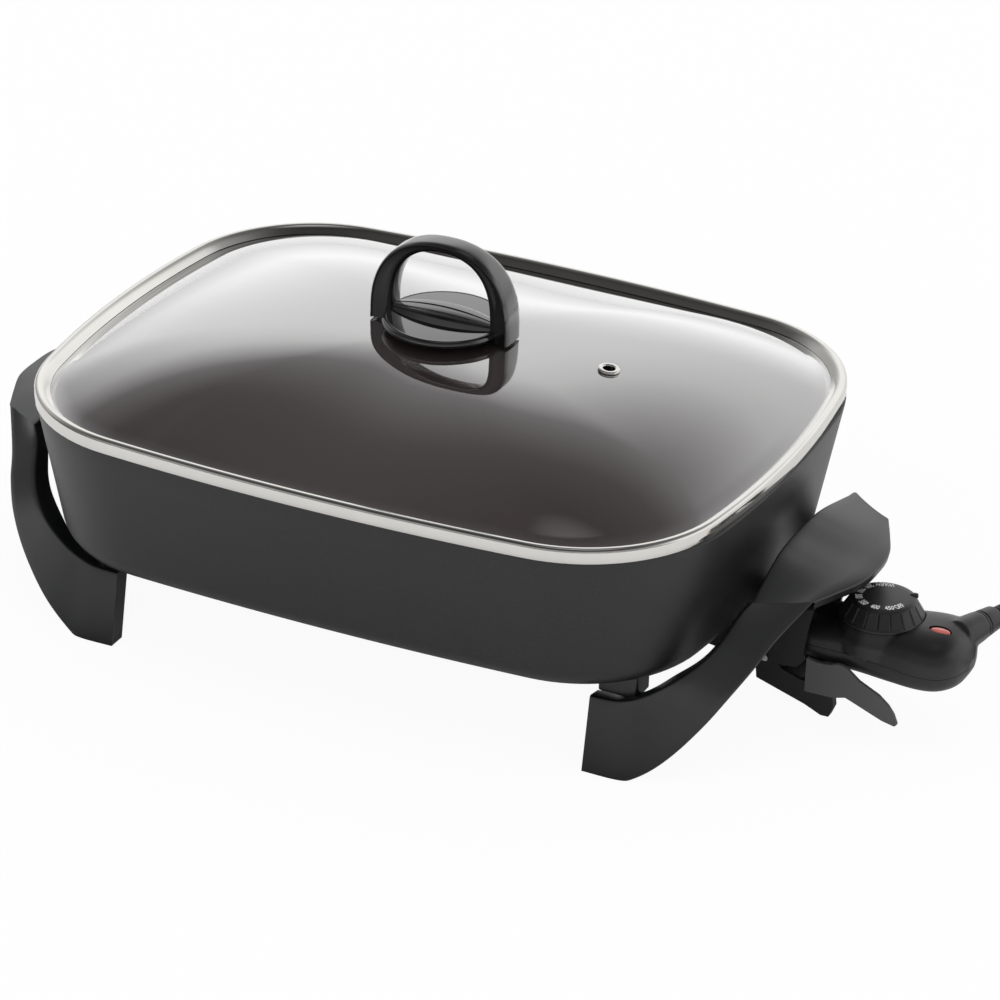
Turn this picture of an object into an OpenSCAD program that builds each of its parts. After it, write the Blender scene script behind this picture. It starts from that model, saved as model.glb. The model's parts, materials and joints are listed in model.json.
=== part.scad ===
// Rectangular electric skillet with a lift-off glass lid, a plug-in
// temperature control and its lead. Millimetres, +Z up, floor at z = 0.
// Modelled round the middle of the pan; the object is then moved along X so
// that its own bounding box, without the lead, is centred on the origin.

/* [Lid and pan] */
// Length of the lid over its steel rim
lid_l = 400; // [380:5:440]
// Width of the lid over its steel rim
lid_w = 316; // [300:4:340]
// Corner radius of the rim
corner_r = 83; // [70:1:95]
// How far each side of the rim bows outward
side_bow = 5; // [3:0.5:8]
// Height of the steel rim band
rim_h = 8; // [7:0.5:11]
// Thickness of the rim's steel
rim_t = 0.9; // [0.7:0.1:1.2]
// Width of the steel rim seen from above
rim_w = 8.4; // [8:0.2:10]
// Depth from the rim's top down to the edge of the glass
glass_drop = 4.2; // [3.6:0.2:5]
// Thickness of the glass
glass_t = 3.2; // [3:0.2:4]
// Rise of the dome from the edge of the glass to its middle
dome_h = 31.4; // [24:0.2:38]
// Height of the pan's underside above the floor
base_z = 54; // [50:1:62]
// Depth of the pan, outside, from its top edge to its underside
pan_h = 83; // [70:1:95]
// Thickness of the pan's wall
pan_wall = 3.2; // [2.6:0.2:4.4]
// Thickness of the pan's floor
pan_floor = 3.4; // [3:0.2:5]
// How far the end walls lean in from the top edge to the underside
end_lean = 14.4; // [10:0.4:20]
// How far the long walls lean in from the top edge to the underside
side_lean = 18.4; // [12:0.4:22]
// How far the pan's ends stand in from the outside of the rim; below zero they stand out
rim_over_x = -0.5; // [-1:0.5:1]
// How far the pan's long sides stand in from the outside of the rim
rim_over_y = 2; // [1:0.5:3]
// Radius between the pan's wall and its floor
foot_radius = 12; // [8:1:16]

/* [Heater] */
// Thickness of the cast pad that the heating tube is pressed on to
pad_t = 3.8; // [2:0.2:6]
// Length of the pad
pad_l = 250; // [230:5:256]
// Width of the pad
pad_w = 176; // [160:4:200]
// Radius of the heating tube
tube_r = 4; // [3.6:0.1:4.4]
// Half the length of the heating loop
loop_x = 116; // [100:2:118]
// Half the width of the heating loop
loop_y = 70; // [56:2:76]
// Radius of the bends in the heating tube
loop_r = 20; // [16:1:20]
// Spacing of the two terminal pins
pin_pitch = 27; // [25:0.5:29]
// Radius of a terminal pin
pin_r = 3; // [2.6:0.1:3.2]
// Radius of the thermostat's probe
probe_r = 3.1; // [2.8:0.1:3.4]
// Length of the probe's socket under the pan
well_l = 48; // [40:1:50]

/* [Handles] */
// How far a grip's outer edge stands out from the rim
grip_reach = 51; // [44:1:60]
// How far a grip's inner edge stands out from the rim
grip_gap = 4.5; // [3:0.5:9]
// Height of a grip's outer edge above the floor
grip_out_z = 94.5; // [88:0.5:100]
// Height of a grip's inner edge above the floor
grip_in_z = 103.5; // [98:0.5:110]
// Half the length of a grip, between its two bends
grip_half = 70; // [62:1:74]
// Thickness of a grip
grip_t = 6; // [5:0.5:7]
// Thickness of a leg at its foot
leg_t = 11; // [9:0.5:12]
// Height of a leg at its inner end
leg_h = 41; // [36:1:44]
// How far a leg's end stands in from the rim along the length
leg_in_x = 62; // [56:1:68]
// How far a leg's foot stands in from the rim across the width
leg_in_y = 45; // [42:1:48]
// Radius of the handle screws
screw_r = 2; // [1.6:0.1:2.4]

/* [Socket guard and release lever] */
// Outside width of the guard round the socket
guard_w = 50; // [48:1:56]
// Thickness of the guard's walls
guard_t = 2.5; // [2:0.1:2.8]
// How far the guard's front edge stands out from the rim
guard_out = 24; // [20:1:28]
// Radius of the lever's hinge pin
lever_pin_r = 2; // [1.6:0.1:2.2]
// Height of the lever's hinge pin
lever_pin_z = 39.2; // [38.6:0.2:39.6]
// Thickness of the lever's finger plate
paddle_t = 2.4; // [2:0.1:4]
// Width of the lever's shoe
shoe_w = 43; // [36:1:43.6]
// Swing of the lever from rest to its stop
lever_swing = 10; // [6:1:10]

/* [Lid knob] */
// Radius of the knob's base disc
knob_disc_r = 33; // [28:1:36]
// Height of the base disc's top above the knob's seat
knob_disc_h = 6; // [5:0.2:7]
// Half the span of the knob's arch
arch_half = 40.4; // [36:0.4:44]
// Height of the knob's arch above the underside of the disc
arch_h = 49.5; // [44:0.5:58]
// Depth of the arch along Y at its top
arch_deep = 14; // [11:1:16]
// Distance of the steam vent from the middle of the lid
vent_x = 95; // [85:1:110]
// Outer radius of the vent's eyelet
vent_r = 5.8; // [5:0.2:7]
// Radius of the hole through the eyelet
vent_hole_r = 3.2; // [2.4:0.1:3.6]

/* [Temperature control] */
// Distance of the control's nose from the outside of the rim
nose_out = 12; // [11:0.5:16]
// Length of the control's housing
housing_l = 93; // [88:1:106]
// Half the width of the housing at its widest
housing_half = 26; // [24:0.5:30]
// Plastic beside the contact sleeves at the housing's nose
nose_side = 2; // [1.6:0.2:2.6]
// Height of the housing above its seam
housing_up = 18; // [16:0.5:20]
// Depth of the housing below its seam
housing_down = 14; // [13.6:0.2:15]
// Thickness of the housing's walls
shell_t = 2.2; // [1.8:0.1:2.6]
// Distance from the nose to the middle of the dial
dial_at = 42.2; // [41:0.2:43]
// Radius of the dial at its skirt
dial_r = 22.3; // [21:0.1:23]
// Height of the dial
dial_h = 10.5; // [10:0.5:12]
// Number of flutes round the dial
flutes = 19; // [12:1:30]
// Distance from the nose to the middle of the pilot lens
lens_at = 76; // [75:0.5:77]

/* [Lead] */
// Diameter of the lead
cord_d = 7; // [6:0.2:7.2]
// Gap between neighbouring turns of the put-away lead
turn_gap = 0.8; // [0.6:0.1:1.2]
// Number of turns in the put-away lead
coil_turns = 3.5; // [2.5:1:4.5]
// Radius of the outermost turn, to the middle of the lead
coil_r = 43; // [42:1:50]
// Length of the tapered sleeve outside the housing
relief_l = 28; // [24:1:36]

/* [Hidden] */
$fn = 64;

// clearances shared by every fit
slip = 0.1;      // radial, where one piece slides or turns in another
rest_gap = 0.3;  // between bodies that lie close without touching
skin = 0.05;     // radial, a fixed piece in its own hole

half_l = lid_l / 2;
half_w = lid_w / 2;
pan_top = base_z + pan_h;
rim_top = pan_top + rim_h;
pad_z = base_z - pad_t;
axis_z = pad_z - tube_r + 0.8; // height of the heating tube, the pins and the probe
pin_y = pin_pitch / 2;

// ---- outlines and lofts ------------------------------------------------

side_steps = 8;
corner_steps = 14;

// a quarter of the bowed rounded rectangle, from its +X side to its +Y side
function quarter(a, b, r, bow, inset) =
  let (
    hx = a - r - bow,
    hy = b - r - bow,
    rx = (hy * hy + bow * bow) / (2 * bow),
    ry = (hx * hx + bow * bow) / (2 * bow),
    tx = asin(hy / rx),
    ty = asin(hx / ry)
  ) concat(
    [for (i = [0 : side_steps / 2 - 1]) let (t = tx * i * 2 / side_steps)
      [a - r - rx + (rx + r - inset) * cos(t), (rx + r - inset) * sin(t)]],
    [for (i = [0 : corner_steps]) let (t = tx + (90 - ty - tx) * i / corner_steps)
      [hx + (r - inset) * cos(t), hy + (r - inset) * sin(t)]],
    [for (i = [side_steps / 2 - 1 : -1 : 1]) let (t = ty * i * 2 / side_steps)
      [(ry + r - inset) * sin(t), b - r - ry + (ry + r - inset) * cos(t)]]);

function reversed(list) = [for (i = [len(list) - 1 : -1 : 0]) list[i]];

// a whole outline, counter-clockwise, from its quarter
function whole(q, b) =
  let (
    q2 = [for (p = reversed(q)) [-p[0], p[1]]],
    upper = concat(q, [[0, b]], [for (i = [0 : len(q2) - 2]) q2[i]])
  ) concat(upper, [for (p = upper) -p]);

// the lid's outline, standing in by inset all round
function outline(inset) = whole(quarter(half_l, half_w, corner_r, side_bow, inset), half_w - inset);

function at_height(points, z) = [for (p = points) [p[0], p[1], z]];

// a closed skin through rings of equal length; joined = last ring meets the first
module loft(rings, joined = false) {
  n = len(rings[0]);
  m = len(rings);
  last = joined ? m : m - 1;
  sides = [for (k = [0 : last - 1], i = [0 : n - 1])
    let (a = k * n, b = (k + 1) % m * n, j = (i + 1) % n)
      each [[a + i, b + j, a + j], [a + i, b + i, b + j]]];
  caps = joined ? [] : [[for (i = [0 : n - 1]) i], [for (i = [n - 1 : -1 : 0]) (m - 1) * n + i]];
  polyhedron([for (ring = rings) each ring], concat(sides, caps), convexity = 8);
}

// smooth value through a list of stations, t counted in stations
function blend(list, t) =
  let (
    n = len(list),
    i = min(max(floor(t), 0), n - 2),
    f = t - i,
    p1 = list[i],
    p2 = list[i + 1],
    p0 = i > 0 ? list[i - 1] : 2 * p1 - p2,
    p3 = i < n - 2 ? list[i + 2] : 2 * p2 - p1
  ) 0.5 * (2 * p1 + (p2 - p0) * f + (2 * p0 - 5 * p1 + 4 * p2 - p3) * f * f
    + (3 * p1 - p0 - 3 * p2 + p3) * f * f * f);

function unit(v) = v / norm(v);

// moves everything so that the object without its lead is centred along X
left_end = -(half_l + grip_reach);
nose_x = half_l + nose_out;
right_end = nose_x + housing_l;
mid_x = (left_end + right_end) / 2;
module placed() translate([-mid_x, 0, 0]) children();

// ---- pan ------------------------------------------------------------------

pan_corner_r = corner_r + 5;
corner_lean = 15;              // how much smaller the corner radius is at the underside
pan_bow = 3.5;
// the pan's outline at a height above its underside, standing in by inset
function pan_ring(z, inset) =
  let (
    f = 1 - z / pan_h,
    a = half_l - rim_over_x - end_lean * f,
    b = half_w - rim_over_y - side_lean * f
  ) at_height(whole(quarter(a, b, pan_corner_r - corner_lean * f, pan_bow, inset), b - inset),
    base_z + z);

round_steps = 4;
pan_boss_r = 5;
pan_boss_h = 6;

module pan() color([0.16, 0.16, 0.17]) placed() difference() {
  union() {
    loft(concat(
      [for (i = [0 : round_steps]) let (t = 90 * i / round_steps, z = foot_radius * (1 - cos(t)))
        pan_ring(z, foot_radius * (1 - sin(t)))],
      [pan_ring(pan_h, 0), pan_ring(pan_h, pan_wall)],
      [for (i = [round_steps : -1 : 0])
        let (t = 90 * i / round_steps, z = pan_floor + foot_radius * (1 - cos(t)))
        pan_ring(z, pan_wall + foot_radius * (1 - sin(t)))]));
    translate([0, 0, pad_z]) linear_extrude(pad_t + pan_floor / 2)
      polygon(rounded(pad_l / 2, pad_w / 2, loop_r + tube_r + 10));
    at_posts() translate([0, 0, base_z - pan_boss_h])
      cylinder(r = pan_boss_r, h = pan_boss_h + pan_floor / 2);
    at_guard_screws() translate([0, 0, base_z - pan_boss_h])
      cylinder(r = pan_boss_r, h = pan_boss_h + pan_floor / 2);
  }
  at_posts() screw_hole();
  at_guard_screws() screw_hole();
}

module screw_hole() translate([0, 0, base_z - pan_boss_h - 1])
  cylinder(r = screw_r + skin, h = pan_boss_h + 2);

// a plain rectangle with round corners
function rounded(a, b, r) = [for (q = [0 : 3], i = [0 : 8])
  let (t = 90 * q + 90 * i / 8, sx = (q == 0 || q == 3) ? 1 : -1, sy = q < 2 ? 1 : -1)
  [sx * (a - r) + r * cos(t), sy * (b - r) + r * sin(t)]];

// ---- heater ---------------------------------------------------------------

end_x = pad_l / 2 + 37;        // where the heating tube ends
collar_l = 8;                  // length of a ceramic collar
pin_bite = 20;                 // length of a pin inside its sleeve

// the tube's section, pressed flat against the pad
module tube_section() intersection() {
  circle(r = tube_r);
  translate([-tube_r, -tube_r]) square([2 * tube_r, 2 * tube_r - 0.8]);
}

// a straight stretch of tube from a point, heading by an angle
module tube_run(x, y, heading, length) translate([x, y, axis_z])
  rotate([0, 0, heading]) rotate([90, 0, 90]) linear_extrude(length) tube_section();

// a bend of 90 degrees round a centre, starting at an angle
module tube_bend(x, y, start) translate([x, y, axis_z])
  rotate([0, 0, start]) rotate_extrude(angle = 90) translate([loop_r, 0]) tube_section();

module heating_element() color([0.62, 0.60, 0.57]) placed() {
  turn_x = loop_x + loop_r;
  tube_run(-loop_x, -loop_y + loop_r, 90, 2 * (loop_y - loop_r));
  for (s = [-1, 1]) mirror([0, s < 0 ? 1 : 0, 0]) {
    tube_run(turn_x, pin_y, 0, end_x - turn_x);
    tube_bend(turn_x, pin_y + loop_r, 180);
    tube_run(loop_x, pin_y + loop_r, 90, loop_y - pin_y - 2 * loop_r);
    tube_bend(loop_x - loop_r, loop_y - loop_r, 0);
    tube_run(-loop_x + loop_r, loop_y, 0, 2 * (loop_x - loop_r));
    tube_bend(-loop_x + loop_r, loop_y - loop_r, 90);
  }
}

module along_x(x, y, z) translate([x, y, z]) rotate([0, 90, 0]) children();
module at_pins(x) for (s = [-1, 1]) along_x(x, s * pin_y, axis_z) children();

module terminal_insulators() color([0.93, 0.92, 0.88]) placed() at_pins(end_x) difference() {
  cylinder(r = tube_r + 0.6, h = collar_l);
  translate([0, 0, -1]) cylinder(r = pin_r + skin, h = collar_l + 2);
}

module terminal_pins() color([0.75, 0.75, 0.76]) placed() at_pins(end_x) {
  cylinder(r = pin_r, h = nose_x + pin_bite - end_x - pin_r);
  translate([0, 0, nose_x + pin_bite - end_x - pin_r]) sphere(r = pin_r);
}

well_half = 7;
well_x = pad_l / 2 + 1;        // inner end of the socket
well_end = 3;                  // solid end of the socket
probe_tip = well_x + 2 * well_end;
module probe_well() color([0.55, 0.55, 0.56]) placed() difference() {
  translate([well_x, -well_half, axis_z - well_half])
    cube([well_l, 2 * well_half, base_z - axis_z + well_half]);
  along_x(well_x + well_end, 0, axis_z) cylinder(r = probe_r + slip, h = well_l);
  along_x(well_x + well_l - 2, 0, axis_z) cylinder(r1 = probe_r, r2 = probe_r + 2.2, h = 2.2);
}

// ---- handles --------------------------------------------------------------

// stations from the front foot to the middle of the grip: the outer lower
// edge, the inner upper edge and the thickness
foot_x = half_l - leg_in_x;
foot_y = half_w - leg_in_y;
below = 2;                     // legs run this far below the floor before the cut
// height part of the way up from the floor, or from the leg's top, to the grip
function out_z(f) = grip_out_z * f;
function in_z(f) = leg_h + (grip_in_z - leg_h) * f;
leg_stations = [
  [[foot_x, -foot_y - 0.4, -below], [foot_x, -foot_y + 7, leg_h], leg_t],
  [[half_l - 44, -foot_y - 0.4, -below], [half_l - 49, -foot_y + 7, in_z(0.01)], leg_t],
  [[half_l - 31, -foot_y + 3, out_z(0.035)], [half_l - 40, -foot_y + 7, in_z(0.05)], leg_t],
  [[half_l - 16, -foot_y + 6, out_z(0.18)], [half_l - 30, -foot_y + 7, in_z(0.14)], leg_t - 1],
  [[half_l - 1, -foot_y + 12, out_z(0.38)], [half_l - 18, -foot_y + 10, in_z(0.28)], leg_t - 2],
  [[half_l + 10, -foot_y + 20, out_z(0.56)], [half_l - 8, -foot_y + 17, in_z(0.42)], leg_t - 3],
  [[half_l + 18, -foot_y + 31, out_z(0.70)], [half_l - 1, -foot_y + 26, in_z(0.57)], grip_t + 1],
  [[half_l + 24, -grip_half, out_z(0.82)], [half_l + grip_gap, -grip_half - 5, in_z(0.77)], grip_t],
  [[half_l + grip_reach - 15, -grip_half + 19, grip_out_z],
   [half_l + grip_gap + 4.5, -grip_half, in_z(0.875)], grip_t],
  [[half_l + grip_reach - 7.8, -grip_half / 2, grip_out_z],
   [half_l + grip_gap + 1.5, -grip_half / 2, in_z(0.98)], grip_t],
  [[half_l + grip_reach - 1.2, -grip_half / 4, grip_out_z],
   [half_l + grip_gap + 0.3, -grip_half / 4, grip_in_z], grip_t],
  [[half_l + grip_reach, 0, grip_out_z], [half_l + grip_gap, 0, grip_in_z], grip_t]];
function flipped(s) = [[s[0][0], -s[0][1], s[0][2]], [s[1][0], -s[1][1], s[1][2]], s[2]];
stations = concat(leg_stations, [for (i = [len(leg_stations) - 2 : -1 : 0]) flipped(leg_stations[i])]);
outer_edge = [for (s = stations) s[0]];
inner_edge = [for (s = stations) s[1]];
thickness = [for (s = stations) s[2]];
grip_dip = 2;                  // hollow of the grip's upper face
station_steps = 3;

// one section, from the outer edge up and over the inner one and back below
function handle_section(t) =
  let (
    o = blend(outer_edge, t),
    i = blend(inner_edge, t),
    d = 0.05,
    along = unit(blend(outer_edge, t + d) + blend(inner_edge, t + d)
      - blend(outer_edge, t - d) - blend(inner_edge, t - d)),
    across = i - o,
    w = norm(across),
    u = across / w,
    down = unit(cross(u, along)),
    th = blend(thickness, t),
    r = 1.4,
    c = 0.4 * r,
    mid = len(stations) / 2 - 0.5,
    dip = grip_dip * max(0, 1 - pow(abs(t - mid) / 4, 2)),
    flat = [[0, r], [c, c], [r, 0], [w / 2, dip], [w - r, 0], [w - c, c], [w, r],
            [w, th - r], [w - c, th - c], [w - r, th], [w / 2, th + dip / 2], [r, th], [c, th - c],
            [0, th - r]]
  ) [for (p = flat) o + u * p[0] + down * p[1]];

post_x = half_l - 49;
post_y = foot_y - 24;
post_size = [22, 16, 12];
module at_posts() for (sx = [-1, 1], sy = [-1, 1]) translate([sx * post_x, sy * post_y, 0]) children();

module handle_shape() {
  steps = (len(stations) - 1) * station_steps;
  difference() {
    union() {
      loft(reversed([for (k = [0 : steps]) handle_section(k / station_steps)]));
      for (sy = [-1, 1]) translate([post_x - post_size[0] / 2,
          sy * (post_y + 4) - post_size[1] / 2, base_z - post_size[2]])
        cube(post_size);
    }
    translate([0, -half_w, -50]) cube([2 * half_l, lid_w, 50]);
    for (sy = [-1, 1]) translate([post_x, sy * post_y, base_z - pan_boss_h])
      cylinder(r = pan_boss_r + skin, h = pan_boss_h + 1);
    for (sy = [-1, 1]) translate([post_x, sy * post_y, 0])
      cylinder(r = screw_r + slip, h = base_z);
  }
}

module left_handle() color([0.10, 0.10, 0.11]) placed() mirror([1, 0, 0]) handle_shape();
module right_handle() color([0.10, 0.10, 0.11]) placed() handle_shape();

head_r = 3.6;
head_h = 2.4;
// a screw from below: pan head at z, shank going up
module screw_up(z, length) {
  translate([0, 0, z - head_h]) cylinder(r = head_r, h = head_h);
  translate([0, 0, z - 0.5]) cylinder(r = screw_r, h = length + 0.5);
}
module handle_screws() color([0.70, 0.70, 0.72]) placed()
  at_posts() screw_up(base_z - post_size[2], post_size[2] - 1);

// ---- socket guard -----------------------------------------------------------

guard_half = guard_w / 2;
guard_x = half_l + guard_out;
tab_l = 22;
tab_x = pad_l / 2 + 17;
tab_t = pan_boss_h;
tab_w = 14;
ear_r = 5.2;
lever_pin_x = half_l;
guard_roof = 86;
module at_guard_screws() for (s = [-1, 1])
  translate([tab_x + tab_l / 2, s * (guard_half + tab_w / 2), 0]) children();

// the guard's side wall, seen along Y
function guard_profile() = [
  [tab_x, base_z], [tab_x, axis_z - 4], [half_l - 14, base_z - 16.5],
  [guard_x - 6, base_z - 15.5], [guard_x - 2, base_z - 11], [guard_x - 2, base_z - 2],
  [guard_x, 65], [guard_x + 3, 78], [guard_x + 5, guard_roof],
  [half_l + grip_gap + 2, guard_roof], [half_l + 2, 80], [half_l - 5, base_z + 3],
  [half_l - 24, base_z]];

module across_y(y, length) translate([0, y + length / 2, 0]) rotate([90, 0, 0])
  linear_extrude(length) children();

module probe_guard() color([0.09, 0.09, 0.10]) placed() difference() {
  union() {
    for (s = [-1, 1]) {
      across_y(s * (guard_half - guard_t / 2), guard_t) polygon(guard_profile());
      across_y(s * (guard_half - guard_t / 2), guard_t)
        translate([lever_pin_x, lever_pin_z]) circle(r = ear_r);
      translate([tab_x, s > 0 ? guard_half - 1 : -guard_half - tab_w, base_z - tab_t])
        cube([tab_l, tab_w + 1, tab_t]);
    }
    translate([half_l + grip_gap + 2, -guard_half, guard_roof - guard_t])
      cube([guard_x + 4.2 - half_l - grip_gap - 2, guard_w, guard_t]);
  }
  at_guard_screws() translate([0, 0, base_z - pan_boss_h - 1])
    cylinder(r = pan_boss_r + skin, h = pan_boss_h + 2);
  across_y(0, guard_w + 2) translate([lever_pin_x, lever_pin_z]) circle(r = lever_pin_r + skin);
}

module guard_screws() color([0.70, 0.70, 0.72]) placed() at_guard_screws() {
  translate([0, 0, base_z - pan_boss_h - head_h]) cylinder(r = pan_boss_r + 1.6, h = head_h);
  translate([0, 0, base_z - pan_boss_h - 0.5]) cylinder(r = screw_r, h = pan_boss_h);
}

// ---- release lever ------------------------------------------------------------

arm_in = probe_r + 1.6;        // the pusher's arms pass between probe and pins
arm_t = pin_y - pin_r - arm_in - 1.4;
hub_r = 4.4;
cheek_t = 3;
pusher_reach = 12;             // height of the pusher above the hinge pin
// the pusher's face meets the nose at the end of the lever's swing
pusher_x = nose_x - pusher_reach * sin(lever_swing) - rest_gap;
// the shoe's floor, its side walls and its toe, and the finger plate, seen along Y
shoe_floor = [[half_l - 5, 25], [half_l + 22.5, 16.3], [half_l + 24, 18.6], [half_l - 4, 28.5]];
shoe_cheek = [[half_l - 5, 25], [half_l + 22.5, 16.3], [half_l + 24.4, 22], [half_l + 22, 29],
  [half_l + 8, 34], [half_l + 4.2, lever_pin_z - 2], [half_l - 4.4, lever_pin_z], [half_l - 6, 34]];
shoe_toe = [[half_l + 18, 17.8], [half_l + 22.5, 16.3], [half_l + 31.7, 12.2], [half_l + 36.2, 12.2],
  [half_l + 38.6, 18.3], [half_l + 37.4, 28], [half_l + 24, 30], [half_l + 20, 30]];
toe_w = 5;
paddle = [[half_l + 23, 25.3], [half_l + 39, 25.5], [half_l + 45.6, 27.3], [half_l + 50.1, 25.5],
  [half_l + 66.1, 19.2], [half_l + 73.4, 17.6], [half_l + 74.8, 19], [half_l + 72.6, 24.4],
  [half_l + 69.4, 28.7], [half_l + 63.9, 33.3], [half_l + 52.7, 38.7], [half_l + 45.4, 44.6],
  [half_l + 42.6, 45.6], [half_l + 39.9, 45.6], [half_l + 35.6, 44.2], [half_l + 32.3, 43.8],
  [half_l + 28, 44], [half_l + 23, 45.2]];

module lever_shoe() color([0.07, 0.07, 0.08]) placed() difference() {
  union() {
    across_y(0, shoe_w) polygon(shoe_floor);
    across_y((toe_w - shoe_w) / 2, toe_w) polygon(shoe_toe);
    for (s = [-1, 1]) {
      across_y(s * (shoe_w - cheek_t) / 2, cheek_t) polygon(shoe_cheek);
      across_y(s * (shoe_w - cheek_t) / 2, cheek_t)
        translate([lever_pin_x, lever_pin_z]) circle(r = hub_r);
      across_y(s * (arm_in + arm_t / 2), arm_t) union() {
        translate([lever_pin_x, lever_pin_z]) circle(r = hub_r);
        polygon([[half_l - 4.2, 27], [half_l + 4.2, 24.4], [half_l + 4.4, lever_pin_z],
          [half_l - 4.4, lever_pin_z]]);
        polygon([[lever_pin_x - 3, lever_pin_z], [lever_pin_x + 4, lever_pin_z],
          [pusher_x, lever_pin_z + 7], [pusher_x, lever_pin_z + pusher_reach],
          [pusher_x - 4, lever_pin_z + pusher_reach]]);
      }
    }
  }
  across_y(0, guard_w) translate([lever_pin_x, lever_pin_z]) circle(r = lever_pin_r + slip);
}

module lever_paddle() color([0.33, 0.33, 0.34]) placed()
  across_y(-(shoe_w + paddle_t) / 2, paddle_t) polygon(paddle);

module lever_pin() color([0.75, 0.75, 0.76]) placed()
  across_y(0, guard_w - 1) translate([lever_pin_x, lever_pin_z]) circle(r = lever_pin_r);

spring_wire = 0.6;
spring_coil_r = lever_pin_r + spring_wire + 0.4;
spring_curls = 4;
spring_pitch = 1.65;
// points along the spring's wire: a short leg, the curls and a second leg
function spring_path() = let (
    n = 8 * spring_curls,
    y0 = -spring_pitch * spring_curls / 2,
    curls = [for (i = [0 : n]) let (a = 360 * i / 8)
      [spring_coil_r * cos(a), y0 + spring_pitch * i / 8, spring_coil_r * sin(a)]]
  ) concat([curls[0] + [0.5, -0.2, -8], curls[0] + [0.2, -0.1, -3]], curls,
    [curls[n] + [0.2, 0.1, -3], curls[n] + [0.5, 0.2, -8]]);

// a round tube swept along points; the first and last ring stand square to the ends
module sweep(path, r, sides) {
  n = len(path);
  tangent = [for (i = [0 : n - 1]) unit(path[min(i + 1, n - 1)] - path[max(i - 1, 0)])];
  rings = [for (i = [0 : n - 1])
    let (
      t = tangent[i],
      side = unit(abs(t[2]) < 0.8 ? cross([0, 0, 1], t) : cross([0, 1, 0], t)),
      up = cross(t, side)
    ) [for (k = [0 : sides - 1]) let (a = 360 * (k + 0.5) / sides)
      path[i] + r * cos(a) * side + r * sin(a) * up]];
  loft(rings);
}

module lever_spring() color([0.8, 0.8, 0.8]) placed() translate([lever_pin_x, 0, lever_pin_z])
  spring_tube(spring_path(), spring_wire, 6);

// the spring's wire keeps its sides turning about the pin's axis
module spring_tube(path, r, sides) {
  n = len(path);
  rings = [for (i = [0 : n - 1])
    let (
      t = unit(path[min(i + 1, n - 1)] - path[max(i - 1, 0)]),
      side = unit([0, 1, 0] - t * t[1]),
      up = cross(t, side)
    ) [for (k = [0 : sides - 1]) let (a = 360 * k / sides)
      path[i] + r * cos(a) * side + r * sin(a) * up]];
  loft(rings);
}

// ---- lid ------------------------------------------------------------------------

function lid_ring(inset, drop) = at_height(outline(inset), rim_top - drop);

// the rim's section: outer band, round top bead, inner wall and the fold under the glass
fold_w = rim_w + 2.4;
seat_w = max(rim_over_x, rim_over_y) + pan_wall;
glass_under = glass_drop + glass_t;
module lid_rim() color([0.80, 0.79, 0.75]) placed()
  loft([for (p = [
    [0, rim_h], [0, 1.6], [0.5, 0.5], [1.6, 0], [3.4, 0], [4.6, 0.6], [rim_w - 1, glass_drop - 1],
    [rim_w, glass_drop - 0.1], [rim_w - rim_t, glass_drop],
    [4.2, 1.6 + rim_t], [3.2, rim_t], [1.9, rim_t], [rim_t, 1.9], [rim_t, rim_h - rim_t],
    [seat_w - 0.6, rim_h - rim_t], [seat_w - 0.4, glass_under + 0.1],
    [fold_w, glass_under], [fold_w, glass_under + rim_t],
    [seat_w + 0.8, glass_under + rim_t],
    [seat_w + 0.6, rim_h]]) lid_ring(p[0], p[1])], joined = true);

glass_edge = 5;                // inset of the glass's edge inside the rim
glass_start = rim_w + 1;       // inset at which the dome starts
glass_z = rim_top - glass_drop;
dome_steps = 7;
flat_share = 0.16;             // the flat under the knob, as a share of the lid
// how steeply the dome falls off: gently across the lid, later along it
function fall(p) = 2.2 + 1.4 * pow(p[0] / norm(p), 2);
function dome_at(p, s) = dome_h * (1 - pow(s, fall(p))) / (1 - pow(flat_share, fall(p)));
function dome_ring(s, drop) = [for (p = outline(glass_start))
  [p[0] * s, p[1] * s, glass_z - drop + dome_at(p, s)]];
dome_shares = [for (i = [0 : dome_steps]) 1 - (1 - flat_share) * i / dome_steps];

glass_half = half_l - glass_start;
vent_share = vent_x / glass_half;
vent_z = glass_z + dome_at([1, 0], vent_share);
vent_tilt = atan((dome_at([1, 0], vent_share - 0.03) - dome_at([1, 0], vent_share + 0.03))
  / (0.06 * glass_half));
vent_wall = 0.9;
module at_vent() translate([vent_x, 0, vent_z]) rotate([0, vent_tilt, 0]) children();

glass_top = glass_z + dome_h;
knob_hole_r = 3.4;
module lid_glass() color([0.75, 0.78, 0.78, 0.4]) placed() difference() {
  loft(concat(
    [for (s = reversed(dome_shares)) dome_ring(s, glass_t)],
    [at_height(outline(glass_edge), glass_z - glass_t + 0.1), at_height(outline(glass_edge), glass_z)],
    [for (s = dome_shares) dome_ring(s, 0)]));
  translate([0, 0, glass_top - 20]) cylinder(r = knob_hole_r, h = 40);
  at_vent() translate([0, 0, -20]) cylinder(r = vent_hole_r + vent_wall + slip, h = 40);
}

module vent_grommet() color([0.82, 0.80, 0.76]) placed() at_vent()
  translate([0, 0, 0.2]) rotate_extrude() {
    polygon([[vent_hole_r, -glass_t - 1.6], [vent_hole_r + vent_wall, -glass_t - 1.6],
      [vent_hole_r + vent_wall, 0], [vent_r, 0], [vent_r, 0.6], [vent_r - 0.8, 1.5],
      [vent_hole_r + 0.9, 1.5], [vent_hole_r, 0.6]]);
  }

// ---- lid knob ---------------------------------------------------------------------

gasket_t = 1;
knob_z = glass_top + gasket_t;
knob_screw_r = 2.4;
knob_seat_r = 17;              // the knob's seat on its gasket
arch_steps = 28;
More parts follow.
